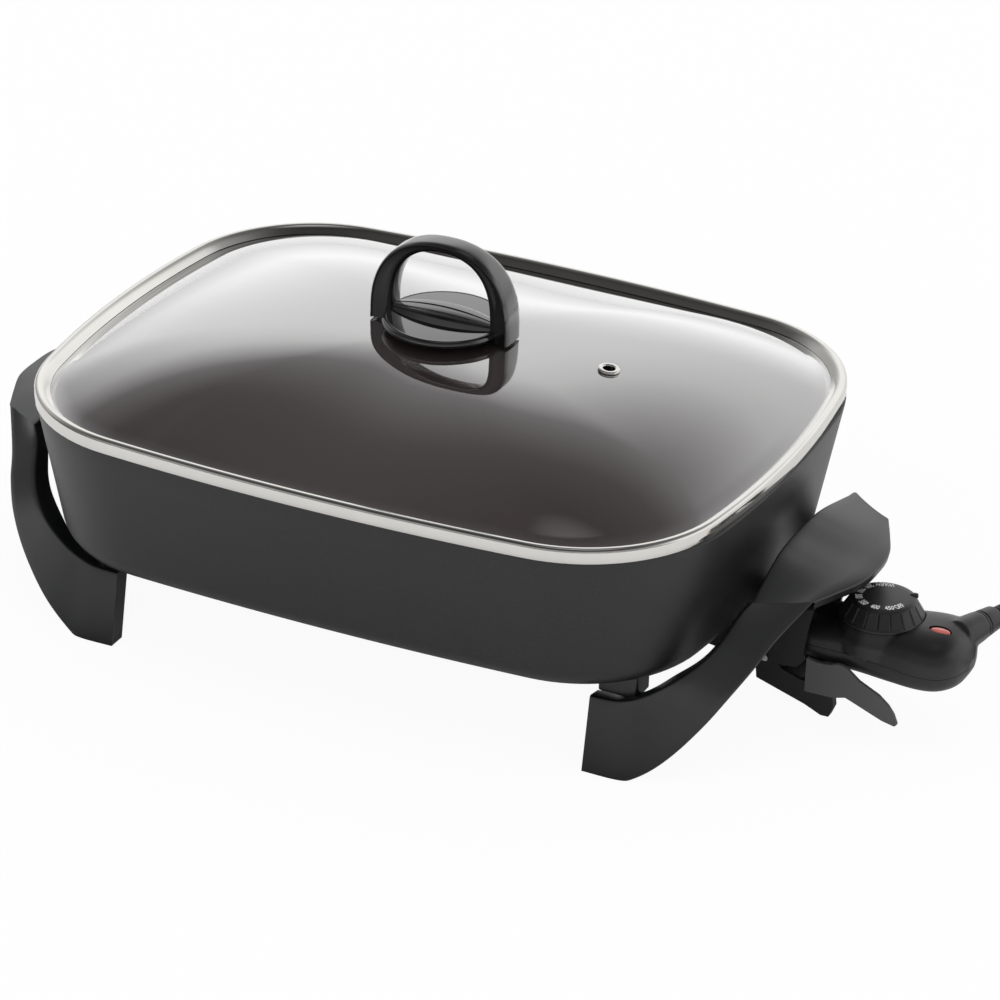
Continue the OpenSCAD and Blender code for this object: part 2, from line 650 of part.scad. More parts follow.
// thickness of the arch's band, seen along Y, and its depth along Y
function arch_band(a) = 5.8 + 6 * pow(cos(a), 2);
function arch_depth(a) = arch_deep + 3 * pow(cos(a), 2);
leg_rise = 6;                  // height at which the straight feet of the arch give way to the curve

// the arch's section at an angle round it, flat outside, round inside
function arch_section(a) =
  let (
    rz = arch_h - leg_rise,
    c = cos(a),
    s = sin(a),
    centre = [arch_half * sign(c) * pow(abs(c), 0.88), 0, leg_rise + rz * pow(s, 0.84)],
    slope = unit([c / arch_half, 0, s / rz]),
    w = arch_band(a),
    d = arch_depth(a) / 2
  ) [for (p = [[-0.3, -0.86], [-0.05, -1], [-0.35 * w, -1], [-0.85 * w, -0.86], [-w, -0.5],
               [-w, 0.5], [-0.85 * w, 0.86], [-0.35 * w, 1], [-0.05, 1], [-0.3, 0.86],
               [0, 0.4], [0, -0.4]])
    centre + slope * p[0] + [0, d * p[1], 0]];
function arch_foot(a) = [for (p = arch_section(a)) [p[0], p[1], 0.3]];
arch_rings = concat([arch_foot(0)], [for (i = [0 : arch_steps]) arch_section(180 * i / arch_steps)],
  [arch_foot(180)]);

ridge_half = arch_half - 5;
ridge_w = 12;
ridge_h = 11;
// the leaf-shaped body between the arch's feet: steep sides and a top that crowns along it
function ridge_ring(share, z, lift) = [for (i = [0 : 31])
  let (a = 360 * i / 32, c = cos(a))
  [ridge_half * c, ridge_w * share * sin(a) * sqrt(abs(sin(a))), z + lift * (1 - c * c)]];

module lid_knob() color([0.04, 0.04, 0.045]) placed() translate([0, 0, knob_z]) difference() {
  union() {
    rotate_extrude() polygon([[0, 0], [knob_seat_r, 0], [knob_seat_r + 1.5, 1.2],
      [knob_disc_r - 2.4, 1.6], [knob_disc_r - 0.5, 2.2], [knob_disc_r, 3.4],
      [knob_disc_r, knob_disc_h - 1.8], [knob_disc_r - 0.6, knob_disc_h - 0.7],
      [knob_disc_r - 2, knob_disc_h], [0, knob_disc_h]]);
    loft(reversed(arch_rings));
    loft([ridge_ring(1, ridge_h - 6, 0), ridge_ring(0.88, ridge_h - 5.2, 1.4),
      ridge_ring(0.78, ridge_h - 5, 3), ridge_ring(0.42, ridge_h - 4.7, 4.3),
      ridge_ring(0.24, ridge_h - 4.6, 4.6)]);
  }
  translate([0, 0, -1]) cylinder(r = knob_screw_r + skin, h = 8.5);
}

module knob_gasket() color([0.2, 0.2, 0.2]) placed() translate([0, 0, glass_top]) difference() {
  cylinder(r = 16, h = gasket_t);
  translate([0, 0, -1]) cylinder(r = knob_hole_r, h = gasket_t + 2);
}
washer_t = 1.2;
module knob_washer() color([0.75, 0.75, 0.76]) placed()
  translate([0, 0, glass_top - glass_t - washer_t]) difference() {
    cylinder(r = 9, h = washer_t);
    translate([0, 0, -1]) cylinder(r = knob_screw_r + slip, h = washer_t + 2);
  }
module knob_screw() color([0.72, 0.72, 0.73]) placed()
  translate([0, 0, glass_top - glass_t - washer_t]) {
    translate([0, 0, -2.6]) cylinder(r = 4.6, h = 2.6);
    translate([0, 0, -0.5]) cylinder(r = knob_screw_r, h = glass_t + washer_t + gasket_t + 6.5);
  }

// ---- temperature control -------------------------------------------------------------

seam_z = axis_z + 3.8;
sleeve_r = pin_r + slip + 1.4;
sleeve_l = 26;
nose_half = pin_y + sleeve_r + nose_side;
// distance from the nose, half width, height above the seam, depth below it
pod_shares = [
  [0.00, 0.00, 0.56, 0.82], [0.20, 0.00, 0.72, 0.98], [0.40, 0.10, 0.84, 1.00],
  [0.58, 0.55, 0.96, 1.00], [0.76, 1.00, 1.04, 0.95], [0.88, 0.72, 1.00, 0.84],
  [0.96, -0.55, 0.72, 0.62], [1.00, -2.60, 0.18, 0.20]];
pod_steps = 21;
function pod_at(t) = let (
    v = blend(pod_shares, t * (len(pod_shares) - 1)),
    half = nose_half + (housing_half - nose_half) * v[1]
  ) [nose_x + housing_l * v[0], max(half, 2.5), housing_up * v[2], housing_down * v[3]];
// one half of the pod's section; side is 1 for the upper half and -1 for the lower
function pod_ring(t, side, inset, stretch) = let (
    v = pod_at(t),
    w = v[1] - inset,
    h = (side > 0 ? v[2] : v[3]) - inset,
    x = v[0] + (t < 0.5 ? inset : -inset) * stretch
  ) concat(
    [for (i = [0 : 16]) let (a = 180 * i / 16)
      [x, w * pow(abs(cos(a)), 0.72) * sign(cos(a)), seam_z + side * h * pow(sin(a), 0.72)]],
    inset > 0 ? [[x, -w, seam_z - side], [x, w, seam_z - side]] : []);
module pod_half(side, inset) {
  last = inset > 0 ? pod_steps - 2 : pod_steps;
  rings = [for (k = [0 : last]) pod_ring(k / pod_steps, side, inset, k == 0 ? 1 : 0)];
  loft(side > 0 ? rings : reversed(rings));
}

dial_x = nose_x + dial_at;
dial_seat = seam_z + 16.2;     // flat of the housing under the dial
seat_r = dial_r + 0.5;         // round the dial, where the housing stands higher than its seat
dial_z = dial_seat + 0.4;
shaft_r = 3;
lens_x = nose_x + lens_at;
lens_y = -4.8;                 // the pilot light sits towards the front
lens_z = seam_z + housing_up;
relief_x = nose_x + housing_l - 10;
relief_z = seam_z + 9.8;
relief_turn = 73;              // the lead leaves towards the back, this far round from +X
relief_start = [relief_x, 12, relief_z];
relief_dir = [cos(relief_turn), sin(relief_turn), 0];
collar_r = 8.4;
collar_out = 13;
sleeve_in = 6;                 // the sleeve's radius inside the housing
sleeve_big = 7.7;              // where it leaves the housing
sleeve_step = 12;              // length of its thick stretch
sleeve_small = cord_d / 2 + 0.7;

module along_relief(s) translate(relief_start + s * relief_dir)
  rotate([0, 0, relief_turn]) rotate([0, 90, 0]) children();
function ellipse(a, b) = [for (i = [0 : 31]) [a * cos(360 * i / 32), b * sin(360 * i / 32)]];
lens_size = [5.8, 3];
boss_r = 3.4;
screw_up_z = seam_z - housing_down + 7.2;
module at_shell_screws() for (x = [sleeve_l + 4, housing_l * 0.84], s = [-1, 1])
  translate([nose_x + x, s * (nose_half - 9) * (x > 40 ? 1 : 1.16), 0]) children();

module control_openings() {
  at_pins(nose_x - 1) cylinder(r = sleeve_r + skin, h = sleeve_l + 2);
  along_x(nose_x - 1, 0, axis_z) cylinder(r = probe_r + skin, h = 6);
}

module control_top() color([0.05, 0.05, 0.055]) placed() difference() {
  union() {
    difference() {
      union() {
        pod_half(1, 0);
        translate([dial_x, 0, seam_z + housing_up / 2])
          cylinder(r = dial_r - 3.2, h = dial_seat + 0.5 - seam_z - housing_up / 2);
      }
      difference() {
        pod_half(1, shell_t);
        translate([dial_x, 0, dial_seat - shell_t]) cylinder(r = seat_r + shell_t, h = housing_up);
      }
    }
    intersection() {
      along_relief(-4) cylinder(r1 = collar_r + 0.8, r2 = collar_r - 0.6, h = collar_out + 4);
      translate([relief_x - 20, 0, seam_z]) cube([40, 60, 40]);
    }
  }
  along_relief(-1) cylinder(r = sleeve_in + skin, h = collar_out + 2);
  control_openings();
  translate([dial_x, 0, seam_z]) cylinder(r = shaft_r + slip, h = housing_up + 4);
  translate([dial_x, 0, dial_seat]) cylinder(r = seat_r, h = housing_up);
  translate([lens_x, lens_y, seam_z + 4]) linear_extrude(housing_up) polygon(ellipse(
    lens_size[0] + slip, lens_size[1] + slip));
}

module control_bottom() color([0.05, 0.05, 0.055]) placed() difference() {
  union() {
    difference() {
      pod_half(-1, 0);
      pod_half(-1, shell_t);
    }
    intersection() {
      pod_half(-1, 0.4);
      at_shell_screws() translate([0, 0, seam_z - housing_down]) cylinder(r = boss_r, h = housing_down);
    }
  }
  control_openings();
  at_shell_screws() translate([0, 0, seam_z - housing_down - 1]) cylinder(r = 1.6, h = housing_down + 2);
  at_shell_screws() translate([0, 0, screw_up_z - 14]) cylinder(r = 2.8, h = 14);
}

module shell_screws() color([0.70, 0.70, 0.72]) placed() at_shell_screws() {
  translate([0, 0, screw_up_z - 0.5]) cylinder(r = 1.5, h = seam_z - screw_up_z);
  translate([0, 0, screw_up_z - 1.6]) cylinder(r = 2.6, h = 1.6);
}

dial_top_r = dial_r - 5.2;
// its skirt: a lip, a steep fluted flank, a shoulder and the flat top
dial_profile = [[0, 1], [dial_r - 2, 1], [dial_r - 2, 0], [dial_r, 0], [dial_r, 1],
  [dial_r - 0.5, 1.6], [dial_top_r + 0.9, dial_h - 2.2], [dial_top_r, dial_h - 1],
  [dial_top_r - 1.4, dial_h - 0.3], [dial_top_r - 3, dial_h], [0, dial_h]];
flute_lean = atan((dial_r - dial_top_r - 1.4) / (dial_h - 3.8));
module temperature_dial() color([0.05, 0.05, 0.055]) placed() translate([dial_x, 0, dial_z]) difference() {
  rotate_extrude() polygon(dial_profile);
  for (i = [0 : flutes - 1]) rotate([0, 0, 360 * i / flutes])
    translate([dial_r - 1, 0, 1.8]) rotate([0, -flute_lean, 0]) translate([0, -0.45, 0]) cube([3, 0.9, 7.4]);
  translate([0, 0, -1]) cylinder(r = shaft_r + skin, h = dial_h - 2);
}

module dial_shaft() color([0.75, 0.75, 0.76]) placed()
  translate([dial_x, 0, seam_z - 3]) cylinder(r = shaft_r, h = dial_z + dial_h - 3.5 - seam_z + 3);

module indicator_lens() color([0.85, 0.25, 0.25]) placed() translate([lens_x, lens_y, 0]) {
  translate([0, 0, lens_z - 4]) linear_extrude(4) polygon(ellipse(lens_size[0], lens_size[1]));
  translate([0, 0, lens_z - shell_t - 3]) linear_extrude(1.4)
    polygon(ellipse(lens_size[0] + 1.4, lens_size[1] + 1.4));
}

block_l = 34;
block_in = 9;                  // how far the block starts before the dial's axis
block_w = 24;
block_up = 6;
block_down = 10;
module thermostat_block() color([0.85, 0.83, 0.76]) placed() difference() {
  translate([dial_x - block_in, -block_w / 2, seam_z - block_down]) cube([block_l, block_w, block_up + block_down]);
  translate([dial_x, 0, seam_z - 3 - rest_gap]) cylinder(r = shaft_r + slip, h = block_up + 10);
}

module probe_stem() color([0.78, 0.78, 0.79]) placed() {
  along_x(probe_tip + probe_r, 0, axis_z)
    cylinder(r = probe_r, h = dial_x - block_in - probe_tip - probe_r);
  translate([probe_tip + probe_r, 0, axis_z]) sphere(r = probe_r);
}

module contact_sleeves() color([0.80, 0.70, 0.40]) placed() at_pins(nose_x) difference() {
  cylinder(r = sleeve_r, h = sleeve_l);
  translate([0, 0, -1]) cylinder(r = pin_r + slip, h = pin_bite + 3);
}

module strain_relief() color([0.05, 0.05, 0.055]) placed() along_relief(0) union() {
  cylinder(r = sleeve_in, h = collar_out);
  translate([0, 0, collar_out]) cylinder(r1 = sleeve_big, r2 = sleeve_big - 1.3, h = sleeve_step);
  translate([0, 0, collar_out + sleeve_step])
    cylinder(r1 = sleeve_small + 0.8, r2 = sleeve_small, h = relief_l - sleeve_step);
}

// ---- lead -------------------------------------------------------------------------------

// the free stretch, from the sleeve's end down to the floor and on to the coil
relief_end = relief_start + (collar_out + relief_l) * relief_dir;
floor_z = cord_d / 2;
tie_t = 1;
coil_z = floor_z + tie_t + 0.5;
coil_c = [relief_end[0] + 4 + coil_r, 160];
cord_drop = [[0, 0], [10, 0], [20, 2], [30, 7.5], [39, 16], [47, 26], [55, 36], [64, 45], [74, 50.6],
  [86, 53], [98, 53.6]];
cord_aim = coil_c - [coil_r, 0];
cord_points = [for (i = [0 : len(cord_drop) - 1])
  let (
    d = cord_drop[i],
    f = i / (len(cord_drop) - 1),
    y = relief_end[1] + (cord_aim[1] - cord_d - relief_end[1]) * d[0] / 98,
    lean = relief_dir[0] / relief_dir[1] * d[0] * (1 - f) * (1 - f),
    x = relief_end[0] + lean + (cord_aim[0] - relief_end[0]) * f * f * (3 - 2 * f)
  ) [x, y, relief_end[2] - (relief_end[2] - coil_z) * d[1] / 53.6]];
cord_path = concat(cord_points, [[cord_aim[0], cord_aim[1] - cord_d, coil_z]]);

module cord() color([0.05, 0.05, 0.055]) placed() sweep(smooth(), cord_d / 2, 10);
// the same route with a ring every couple of diameters
function smooth() = [for (i = [0 : 2 * (len(cord_points) - 1)]) blend(cord_points, i / 2)];

step = cord_d + turn_gap;
coil_half = coil_turns / 2;
ring_steps = 24;
// the spiral runs in for half of its turns, climbs a layer while it reverses, and runs out
function coil_point(turn) =
  let (
    inward = turn < coil_half ? turn : coil_turns - turn,
    r = coil_r - step * inward,
    climb = min(max((turn - coil_half + 0.25) / 0.5, 0), 1),
    a = 180 - 360 * turn
  ) [coil_c[0] + r * cos(a), coil_c[1] + r * sin(a), coil_z + step * climb];
coil_count = round(coil_turns * ring_steps);
coil_curve = [for (i = [0 : coil_count]) coil_point(i / ring_steps)];
// the last stretch comes down to the height of the plug's middle, as it lies on the floor
plug_half = 8.5;
tail = 40;
tail_drop = coil_curve[coil_count][2] - plug_half;
coil_tail = [for (i = [0 : 6])
  coil_curve[coil_count] - [0, cord_d + (tail - 2 * cord_d) * i / 6, tail_drop * (1 - cos(30 * i)) / 2]];
coil_exit = coil_curve[coil_count] - [0, tail, tail_drop];
coil_path = concat([coil_curve[0] - [0, cord_d, 0]], coil_curve, coil_tail, [coil_exit]);
// least gap between two turns, measured on the points
coil_gap = min([for (i = [0 : coil_count], j = [i + 8 : 1 : coil_count])
  norm(coil_curve[i] - coil_curve[j])]) - cord_d;
echo(coil_gap = coil_gap);

module cord_coil() color([0.05, 0.05, 0.055]) placed() sweep(coil_path, cord_d / 2, 6);

// the tie goes round all turns on the side away from the plug
coil_in = coil_r - step * coil_half - cord_d / 2 - 0.6;
coil_out = coil_r + cord_d / 2 + 0.6;
tie_w = 8;
tie_turn = 270;
module cord_tie() color([0.12, 0.12, 0.12]) placed() translate([coil_c[0], coil_c[1], 0])
  rotate([0, 0, tie_turn]) translate([0, tie_w / 2, 0]) rotate([90, 0, 0]) linear_extrude(tie_w)
    translate([(coil_in + coil_out) / 2, 0]) difference() {
      translate([-(coil_out - coil_in) / 2 - tie_t, 0])
        square([coil_out - coil_in + 2 * tie_t, coil_z + step + floor_z + 0.5 + tie_t]);
      translate([-(coil_out - coil_in) / 2, tie_t])
        square([coil_out - coil_in, coil_z + step + floor_z + 0.5 - tie_t]);
    }

plug_l = 36;
blade_gap = 12.7;
module at_plug() translate(coil_exit) rotate([0, 0, -90]) children();
module plug_body() color([0.05, 0.05, 0.055]) placed() at_plug() union() {
  rotate([0, 90, 0]) cylinder(r1 = cord_d / 2 + 0.4, r2 = 5.4, h = 14);
  hull() {
    translate([12, 0, 0]) rotate([0, 90, 0]) cylinder(r = 5.4, h = 1, $fn = 32);
    translate([24, -12, 0.5 - plug_half]) cube([1, 24, 2 * plug_half - 1]);
  }
  translate([24.5, -12.5, -plug_half]) cube([plug_l - 24.5, 25, 2 * plug_half]);
}
module plug_blades() color([0.82, 0.72, 0.45]) placed() at_plug()
  for (s = [-1, 1]) translate([plug_l, s * blade_gap / 2 - 0.75, -3.2]) difference() {
    cube([16, 1.5, 6.4]);
    translate([12, -1, 3.2]) rotate([-90, 0, 0]) cylinder(r = 1.6, h = 4);
  }

// ---- what is drawn ---------------------------------------------------------------------

pan();
heating_element();
terminal_insulators();
terminal_pins();
probe_well();
left_handle();
right_handle();
handle_screws();
probe_guard();
guard_screws();
lever_shoe();
lever_paddle();
lever_pin();
lever_spring();
lid_rim();
lid_glass();
vent_grommet();
lid_knob();
knob_gasket();
knob_washer();
knob_screw();
control_top();
control_bottom();
temperature_dial();
dial_shaft();
indicator_lens();
thermostat_block();
probe_stem();
contact_sleeves();
shell_screws();
strain_relief();
cord();
cord_coil();
cord_tie();
plug_body();
plug_blades();
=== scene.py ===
"""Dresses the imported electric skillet: smooth skins for its moulded, cast and
pressed pieces, its lead, its finishes, and a plain pale stage to show it on.

Sizes are in millimetres, measured from the middle of the pan and the floor,
until a piece is placed, when they become metres in the part's own frame."""

import json
import math

import bmesh
import bpy
from bpy.props import FloatProperty, FloatVectorProperty, IntProperty, PointerProperty
from mathutils import Matrix, Vector


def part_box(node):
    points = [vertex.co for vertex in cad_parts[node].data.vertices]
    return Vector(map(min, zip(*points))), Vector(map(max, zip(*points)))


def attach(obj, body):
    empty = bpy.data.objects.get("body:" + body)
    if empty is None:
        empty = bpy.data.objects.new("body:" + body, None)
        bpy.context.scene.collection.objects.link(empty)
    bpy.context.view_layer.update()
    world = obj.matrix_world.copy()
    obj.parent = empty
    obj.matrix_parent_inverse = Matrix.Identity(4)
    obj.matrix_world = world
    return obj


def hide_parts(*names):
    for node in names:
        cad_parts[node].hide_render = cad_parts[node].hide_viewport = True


bl_info = {
    "name": "Electric skillet",
    "version": (1, 0, 0),
    "blender": (4, 5, 0),
    "location": "3D View > Sidebar > Skillet",
    "description": "Builds the visible pieces of an electric skillet round its packed frame",
    "category": "Object",
}

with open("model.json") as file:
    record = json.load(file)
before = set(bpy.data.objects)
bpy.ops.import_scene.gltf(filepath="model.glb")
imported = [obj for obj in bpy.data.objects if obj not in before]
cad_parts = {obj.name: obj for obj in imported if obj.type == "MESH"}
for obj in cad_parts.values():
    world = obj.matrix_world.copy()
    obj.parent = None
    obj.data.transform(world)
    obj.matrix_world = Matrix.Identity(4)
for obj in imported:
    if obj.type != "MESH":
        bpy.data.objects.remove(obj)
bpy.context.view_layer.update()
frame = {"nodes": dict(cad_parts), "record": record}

MM = 0.001
# the pan's middle, along X, in the part's own frame
PAN_LOW, PAN_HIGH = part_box("pan")
SHIFT = (PAN_LOW.x + PAN_HIGH.x) / 2


# ---- sizes of the pieces that are skinned ----

HALF_L, HALF_W = 200.0, 158.0
CORNER_R, SIDE_BOW = 83.0, 5.0
BASE_Z, PAN_H = 54.0, 83.0
PAN_TOP = BASE_Z + PAN_H
RIM_H = 8.0
RIM_TOP = PAN_TOP + RIM_H
PAN_WALL, PAN_FLOOR, FOOT_R = 3.2, 3.4, 12.0
END_LEAN, SIDE_LEAN = 14.4, 18.4
RIM_OVER_X, RIM_OVER_Y = -0.5, 2.0
PAD_T, PAD_L, PAD_W, PAD_R = 3.8, 250.0, 176.0, 34.0
AXIS_Z = BASE_Z - PAD_T - 4 + 0.8
GLASS_DROP, GLASS_T, DOME_H = 4.2, 3.2, 31.4
GLASS_Z = RIM_TOP - GLASS_DROP
GLASS_TOP = GLASS_Z + DOME_H
GLASS_START, GLASS_EDGE, FLAT_SHARE = 9.4, 5.0, 0.16
VENT_X, VENT_R, VENT_HOLE_R, KNOB_HOLE_R = 95.0, 5.8, 3.2, 3.4

GRIP_REACH, GRIP_GAP = 51.0, 4.5
GRIP_OUT_Z, GRIP_IN_Z, GRIP_HALF, GRIP_T = 94.5, 103.5, 70.0, 6.0
LEG_T, LEG_H = 11.0, 41.0
LEG_IN_X, LEG_IN_Y = 62.0, 45.0
GRIP_CREASE = 8          # the station where a leg turns into the grip
POST_IN_X, BOSS_IN_Y, POST_IN_Y = 49.0, 24.0, 20.0    # how far in bosses and posts stand

KNOB_Z = GLASS_TOP + 1
DISC_R, DISC_T = 33.0, 6.0
ARCH_HALF, ARCH_H, ARCH_DEEP = 40.4, 49.5, 14.0
BAND_T, BAND_MORE = 5.8, 6.0          # how thick the arch is at its top, and what its sides add

NOSE_X, HOUSING_L = 212.0, 93.0
HOUSING_HALF, NOSE_HALF = 26.0, 20.0
HOUSING_UP, HOUSING_DOWN = 18.0, 14.0
SEAM_Z = AXIS_Z + 3.8
SEAM_HALF = 0.12         # half the gap between the housing's halves
PIN_Y, PIN_WAY_R, PROBE_WAY_R = 13.5, 4.6, 3.2
DIAL_X, DIAL_Z = NOSE_X + 42.2, SEAM_Z + 16.6
DIAL_R, DIAL_H, DIAL_TOP_R = 22.3, 10.5, 17.1
POINTER_TURN = 36.0      # where the dial's pointer stands, in degrees
FIGURE_RING = 13.0       # how far the figures stand from the dial's middle
FIGURE_EM, FIGURE_NARROW = 1.5, 0.58  # the type's size for its height, and its width
LENS_X, LENS_Y, LENS_Z = NOSE_X + 76.0, -4.8, SEAM_Z + HOUSING_UP

CORD_D = 7.0
TURN_GAP, COIL_TURNS, COIL_R = 0.8, 3.5, 43.0
RELIEF_TURN = math.radians(73)
RELIEF_START = Vector((NOSE_X + HOUSING_L - 10, 12, SEAM_Z + 9.8))
RELIEF_DIR = Vector((math.cos(RELIEF_TURN), math.sin(RELIEF_TURN), 0))
COLLAR_OUT, RELIEF_L = 13.0, 28.0


# ---- what a user may change ----


def length_prop(name, description, default, low, high):
    return FloatProperty(name=name, description=description, default=default, min=low, max=high,
                         subtype="DISTANCE", unit="LENGTH")


def colour_prop(name, description, default):
    return FloatVectorProperty(name=name, description=description, default=default, size=3, min=0,
                               max=1, subtype="COLOR")


class SkilletSizes(bpy.types.PropertyGroup):
    """Sizes of the details that the frame leaves open."""

    lip_round: length_prop("Pan lip rounding", "Radius of the pan's top edges", 0.0012, 0.0004, 0.0015)
    housing_blend: IntProperty(name="Housing blend", description="Passes that soften the housing's joins",
                               default=7, min=0, max=20)
    facets: IntProperty(name="Dial facets", description="Number of flat facets round the dial",
                        default=19, min=12, max=30)
    figure_height: length_prop("Figure height", "Height of the figures on the dial", 0.0036, 0.001, 0.005)
    edge_round: length_prop("Edge rounding", "Rounding of plain moulded edges", 0.0005, 0.0001, 0.001)


class SkilletColours(bpy.types.PropertyGroup):
    """Base colours of the finishes."""

    coating: colour_prop("Pan coating", "Non-stick coating on the pan", (0.009, 0.009, 0.0095))
    moulding: colour_prop("Handle moulding", "Heat-resistant handles and guard", (0.005, 0.0054, 0.0065))
    housing: colour_prop("Housing", "Housing of the temperature control", (0.012, 0.012, 0.012))
    knob: colour_prop("Lid knob", "Glossy knob of the lid", (0.006, 0.006, 0.0065))
    lever: colour_prop("Lever plate", "Grey plate of the lever", (0.080, 0.080, 0.081))
    steel: colour_prop("Polished steel", "Rim of the lid and the vent's eyelet", (0.74, 0.725, 0.69))
    lens: colour_prop("Pilot lens", "Lens over the pilot light", (0.55, 0.13, 0.11))
    figures: colour_prop("Figures", "Figures printed on the dial", (0.78, 0.78, 0.77))


# ---- outlines and sections ----


def angles(count):
    """Angles that stand evenly round a circle."""
    return [2 * math.pi * i / count for i in range(count)]


def quarter(a, b, r, bow, inset, sides=12, corners=18):
    """A quarter of a bowed rectangle with round corners, from its +X side to its +Y side."""
    hx, hy = a - r - bow, b - r - bow
    rx = (hy * hy + bow * bow) / (2 * bow)
    ry = (hx * hx + bow * bow) / (2 * bow)
    tx, ty = math.asin(hy / rx), math.asin(hx / ry)
    points = []
    for i in range(sides):
        t = tx * i / sides
        points.append((a - r - rx + (rx + r - inset) * math.cos(t), (rx + r - inset) * math.sin(t)))
    for i in range(corners + 1):
        t = tx + (math.pi / 2 - ty - tx) * i / corners
        points.append((hx + (r - inset) * math.cos(t), hy + (r - inset) * math.sin(t)))
    for i in range(sides - 1, 0, -1):
        t = ty * i / sides
        points.append(((ry + r - inset) * math.sin(t), b - r - ry + (ry + r - inset) * math.cos(t)))
    return points


def whole(part, b):
    """A whole outline, counter-clockwise, from its quarter."""
    upper = part + [(0, b)] + [(-x, y) for x, y in reversed(part)][:-1]
    return upper + [(-x, -y) for x, y in upper]


def lid_outline(inset):
    return whole(quarter(HALF_L, HALF_W, CORNER_R, SIDE_BOW, inset), HALF_W - inset)


def lid_ring(inset, drop):
    return [(x, y, RIM_TOP - drop) for x, y in lid_outline(inset)]


def pan_ring(z, inset):
    """The pan's outline at a height above its underside, standing in by inset."""
    f = 1 - z / PAN_H
    a = HALF_L - RIM_OVER_X - END_LEAN * f
    b = HALF_W - RIM_OVER_Y - SIDE_LEAN * f
    part = quarter(a, b, CORNER_R + 5 - 15 * f, 3.5, inset)
    return [(x, y, BASE_Z + z) for x, y in whole(part, b - inset)]


def round_box(a, b, r, steps=8):
    """A plain rectangle with round corners, counter-clockwise."""
    points = []
    for q, (sx, sy) in enumerate(((1, 1), (-1, 1), (-1, -1), (1, -1))):
        for i in range(steps + 1):
            t = math.pi / 2 * (q + i / steps)
            points.append((sx * (a - r) + r * math.cos(t), sy * (b - r) + r * math.sin(t)))
    return points


def blend(values, t):
    """A smooth value through a list of stations, t counted in stations."""
    i = min(max(int(math.floor(t)), 0), len(values) - 2)
    f = t - i
    p1, p2 = values[i], values[i + 1]
    p0 = values[i - 1] if i > 0 else 2 * p1 - p2
    p3 = values[i + 2] if i < len(values) - 2 else 2 * p2 - p1
    return 0.5 * (2 * p1 + (p2 - p0) * f + (2 * p0 - 5 * p1 + 4 * p2 - p3) * f * f
                  + (3 * p1 - p0 - 3 * p2 + p3) * f * f * f)


def arc(cx, cy, r, start, end, steps):
    """Points on an arc, its angles in degrees."""
    out = []
    for i in range(steps + 1):
        t = math.radians(start + (end - start) * i / steps)
        out.append((cx + r * math.cos(t), cy + r * math.sin(t)))
    return out


# ---- making meshes ----


def placed(point):
    """A point's place in the part's own frame, in metres."""
    x, y, z = point
    return x * MM + SHIFT, y * MM, z * MM


class Form:
    """Closed skins gathered into one mesh, in millimetres from the pan's middle."""

    def __init__(self):
        self.points = []
        self.faces = []

    def loft(self, rings, joined=False):
        """A skin through rings of equal length; joined when the last ring meets the first."""
        start, n, m = len(self.points), len(rings[0]), len(rings)
        for ring in rings:
            self.points += [tuple(p) for p in ring]
        for k in range(m if joined else m - 1):
            a, b = start + k * n, start + (k + 1) % m * n
            for i in range(n):
                j = (i + 1) % n
                self.faces.append((a + i, a + j, b + j, b + i))
        if not joined:
            self.faces.append(tuple(start + i for i in reversed(range(n))))
            self.faces.append(tuple(start + (m - 1) * n + i for i in range(n)))
        return self

    def turn(self, profile, origin, axis=(0, 0, 1), steps=96, shape=None, joined=False):
        """A body of revolution. The profile holds (radius, height) pairs, and shape may change
        a radius by its angle and its height."""
        axis = Vector(axis).normalized()
        side = axis.orthogonal().normalized() if abs(axis.z) < 0.999 else Vector((1, 0, 0))
        up = axis.cross(side)
        rings = []
        for r, h in profile:
            ring = []
            for t in angles(steps):
                q = shape(r, h, t) if shape else r
                ring.append(Vector(origin) + axis * h + side * (q * math.cos(t)) + up * (q * math.sin(t)))
            rings.append(ring)
        return self.loft(rings, joined)

    def mesh(self, name):
        mesh = bpy.data.meshes.new(name)
        mesh.from_pydata([placed(p) for p in self.points], [], self.faces)
        work = bmesh.new()
        work.from_mesh(mesh)
        bmesh.ops.remove_doubles(work, verts=work.verts, dist=1e-7)
        bmesh.ops.recalc_face_normals(work, faces=work.faces)
        work.to_mesh(mesh)
        work.free()
        return mesh

    def piece(self, name, angle=40):
        """The finished object, smooth but for edges sharper than the angle."""
        obj = put(name, self.mesh(name))
        soften(obj, angle)
        return obj


def put(name, data):
    """A new object in the scene."""
    obj = bpy.data.objects.new(name, data)
    bpy.context.scene.collection.objects.link(obj)
    return obj


def soften(obj, angle):
    obj.data.polygons.foreach_set("use_smooth", [True] * len(obj.data.polygons))
    obj.data.set_sharp_from_angle(angle=math.radians(angle))


def settle(obj):
    """Works the object's modifiers into its mesh."""
    bpy.context.view_layer.update()
    mesh = bpy.data.meshes.new_from_object(obj.evaluated_get(bpy.context.evaluated_depsgraph_get()))
    old = obj.data
    obj.modifiers.clear()
    obj.data = mesh
    mesh.name = old.name
    bpy.data.meshes.remove(old)


def cut(obj, form):
    """Takes a form's closed skins out of an object."""
    tool = form.piece(obj.name + "_cutter")
    hollow = obj.modifiers.new("Cut", "BOOLEAN")
    hollow.object = tool
    hollow.operation = "DIFFERENCE"
    hollow.solver = "EXACT"
    settle(obj)
    bpy.data.objects.remove(tool)


def trim(work, height, up):
    """Cuts closed skins off level, keeps the side that up points to, and closes them there."""
    bmesh.ops.bisect_plane(work, geom=work.verts[:] + work.edges[:] + work.faces[:],
                           plane_co=(0, 0, height), plane_no=(0, 0, up), clear_inner=True)
    bmesh.ops.holes_fill(work, edges=[e for e in work.edges if e.is_boundary])


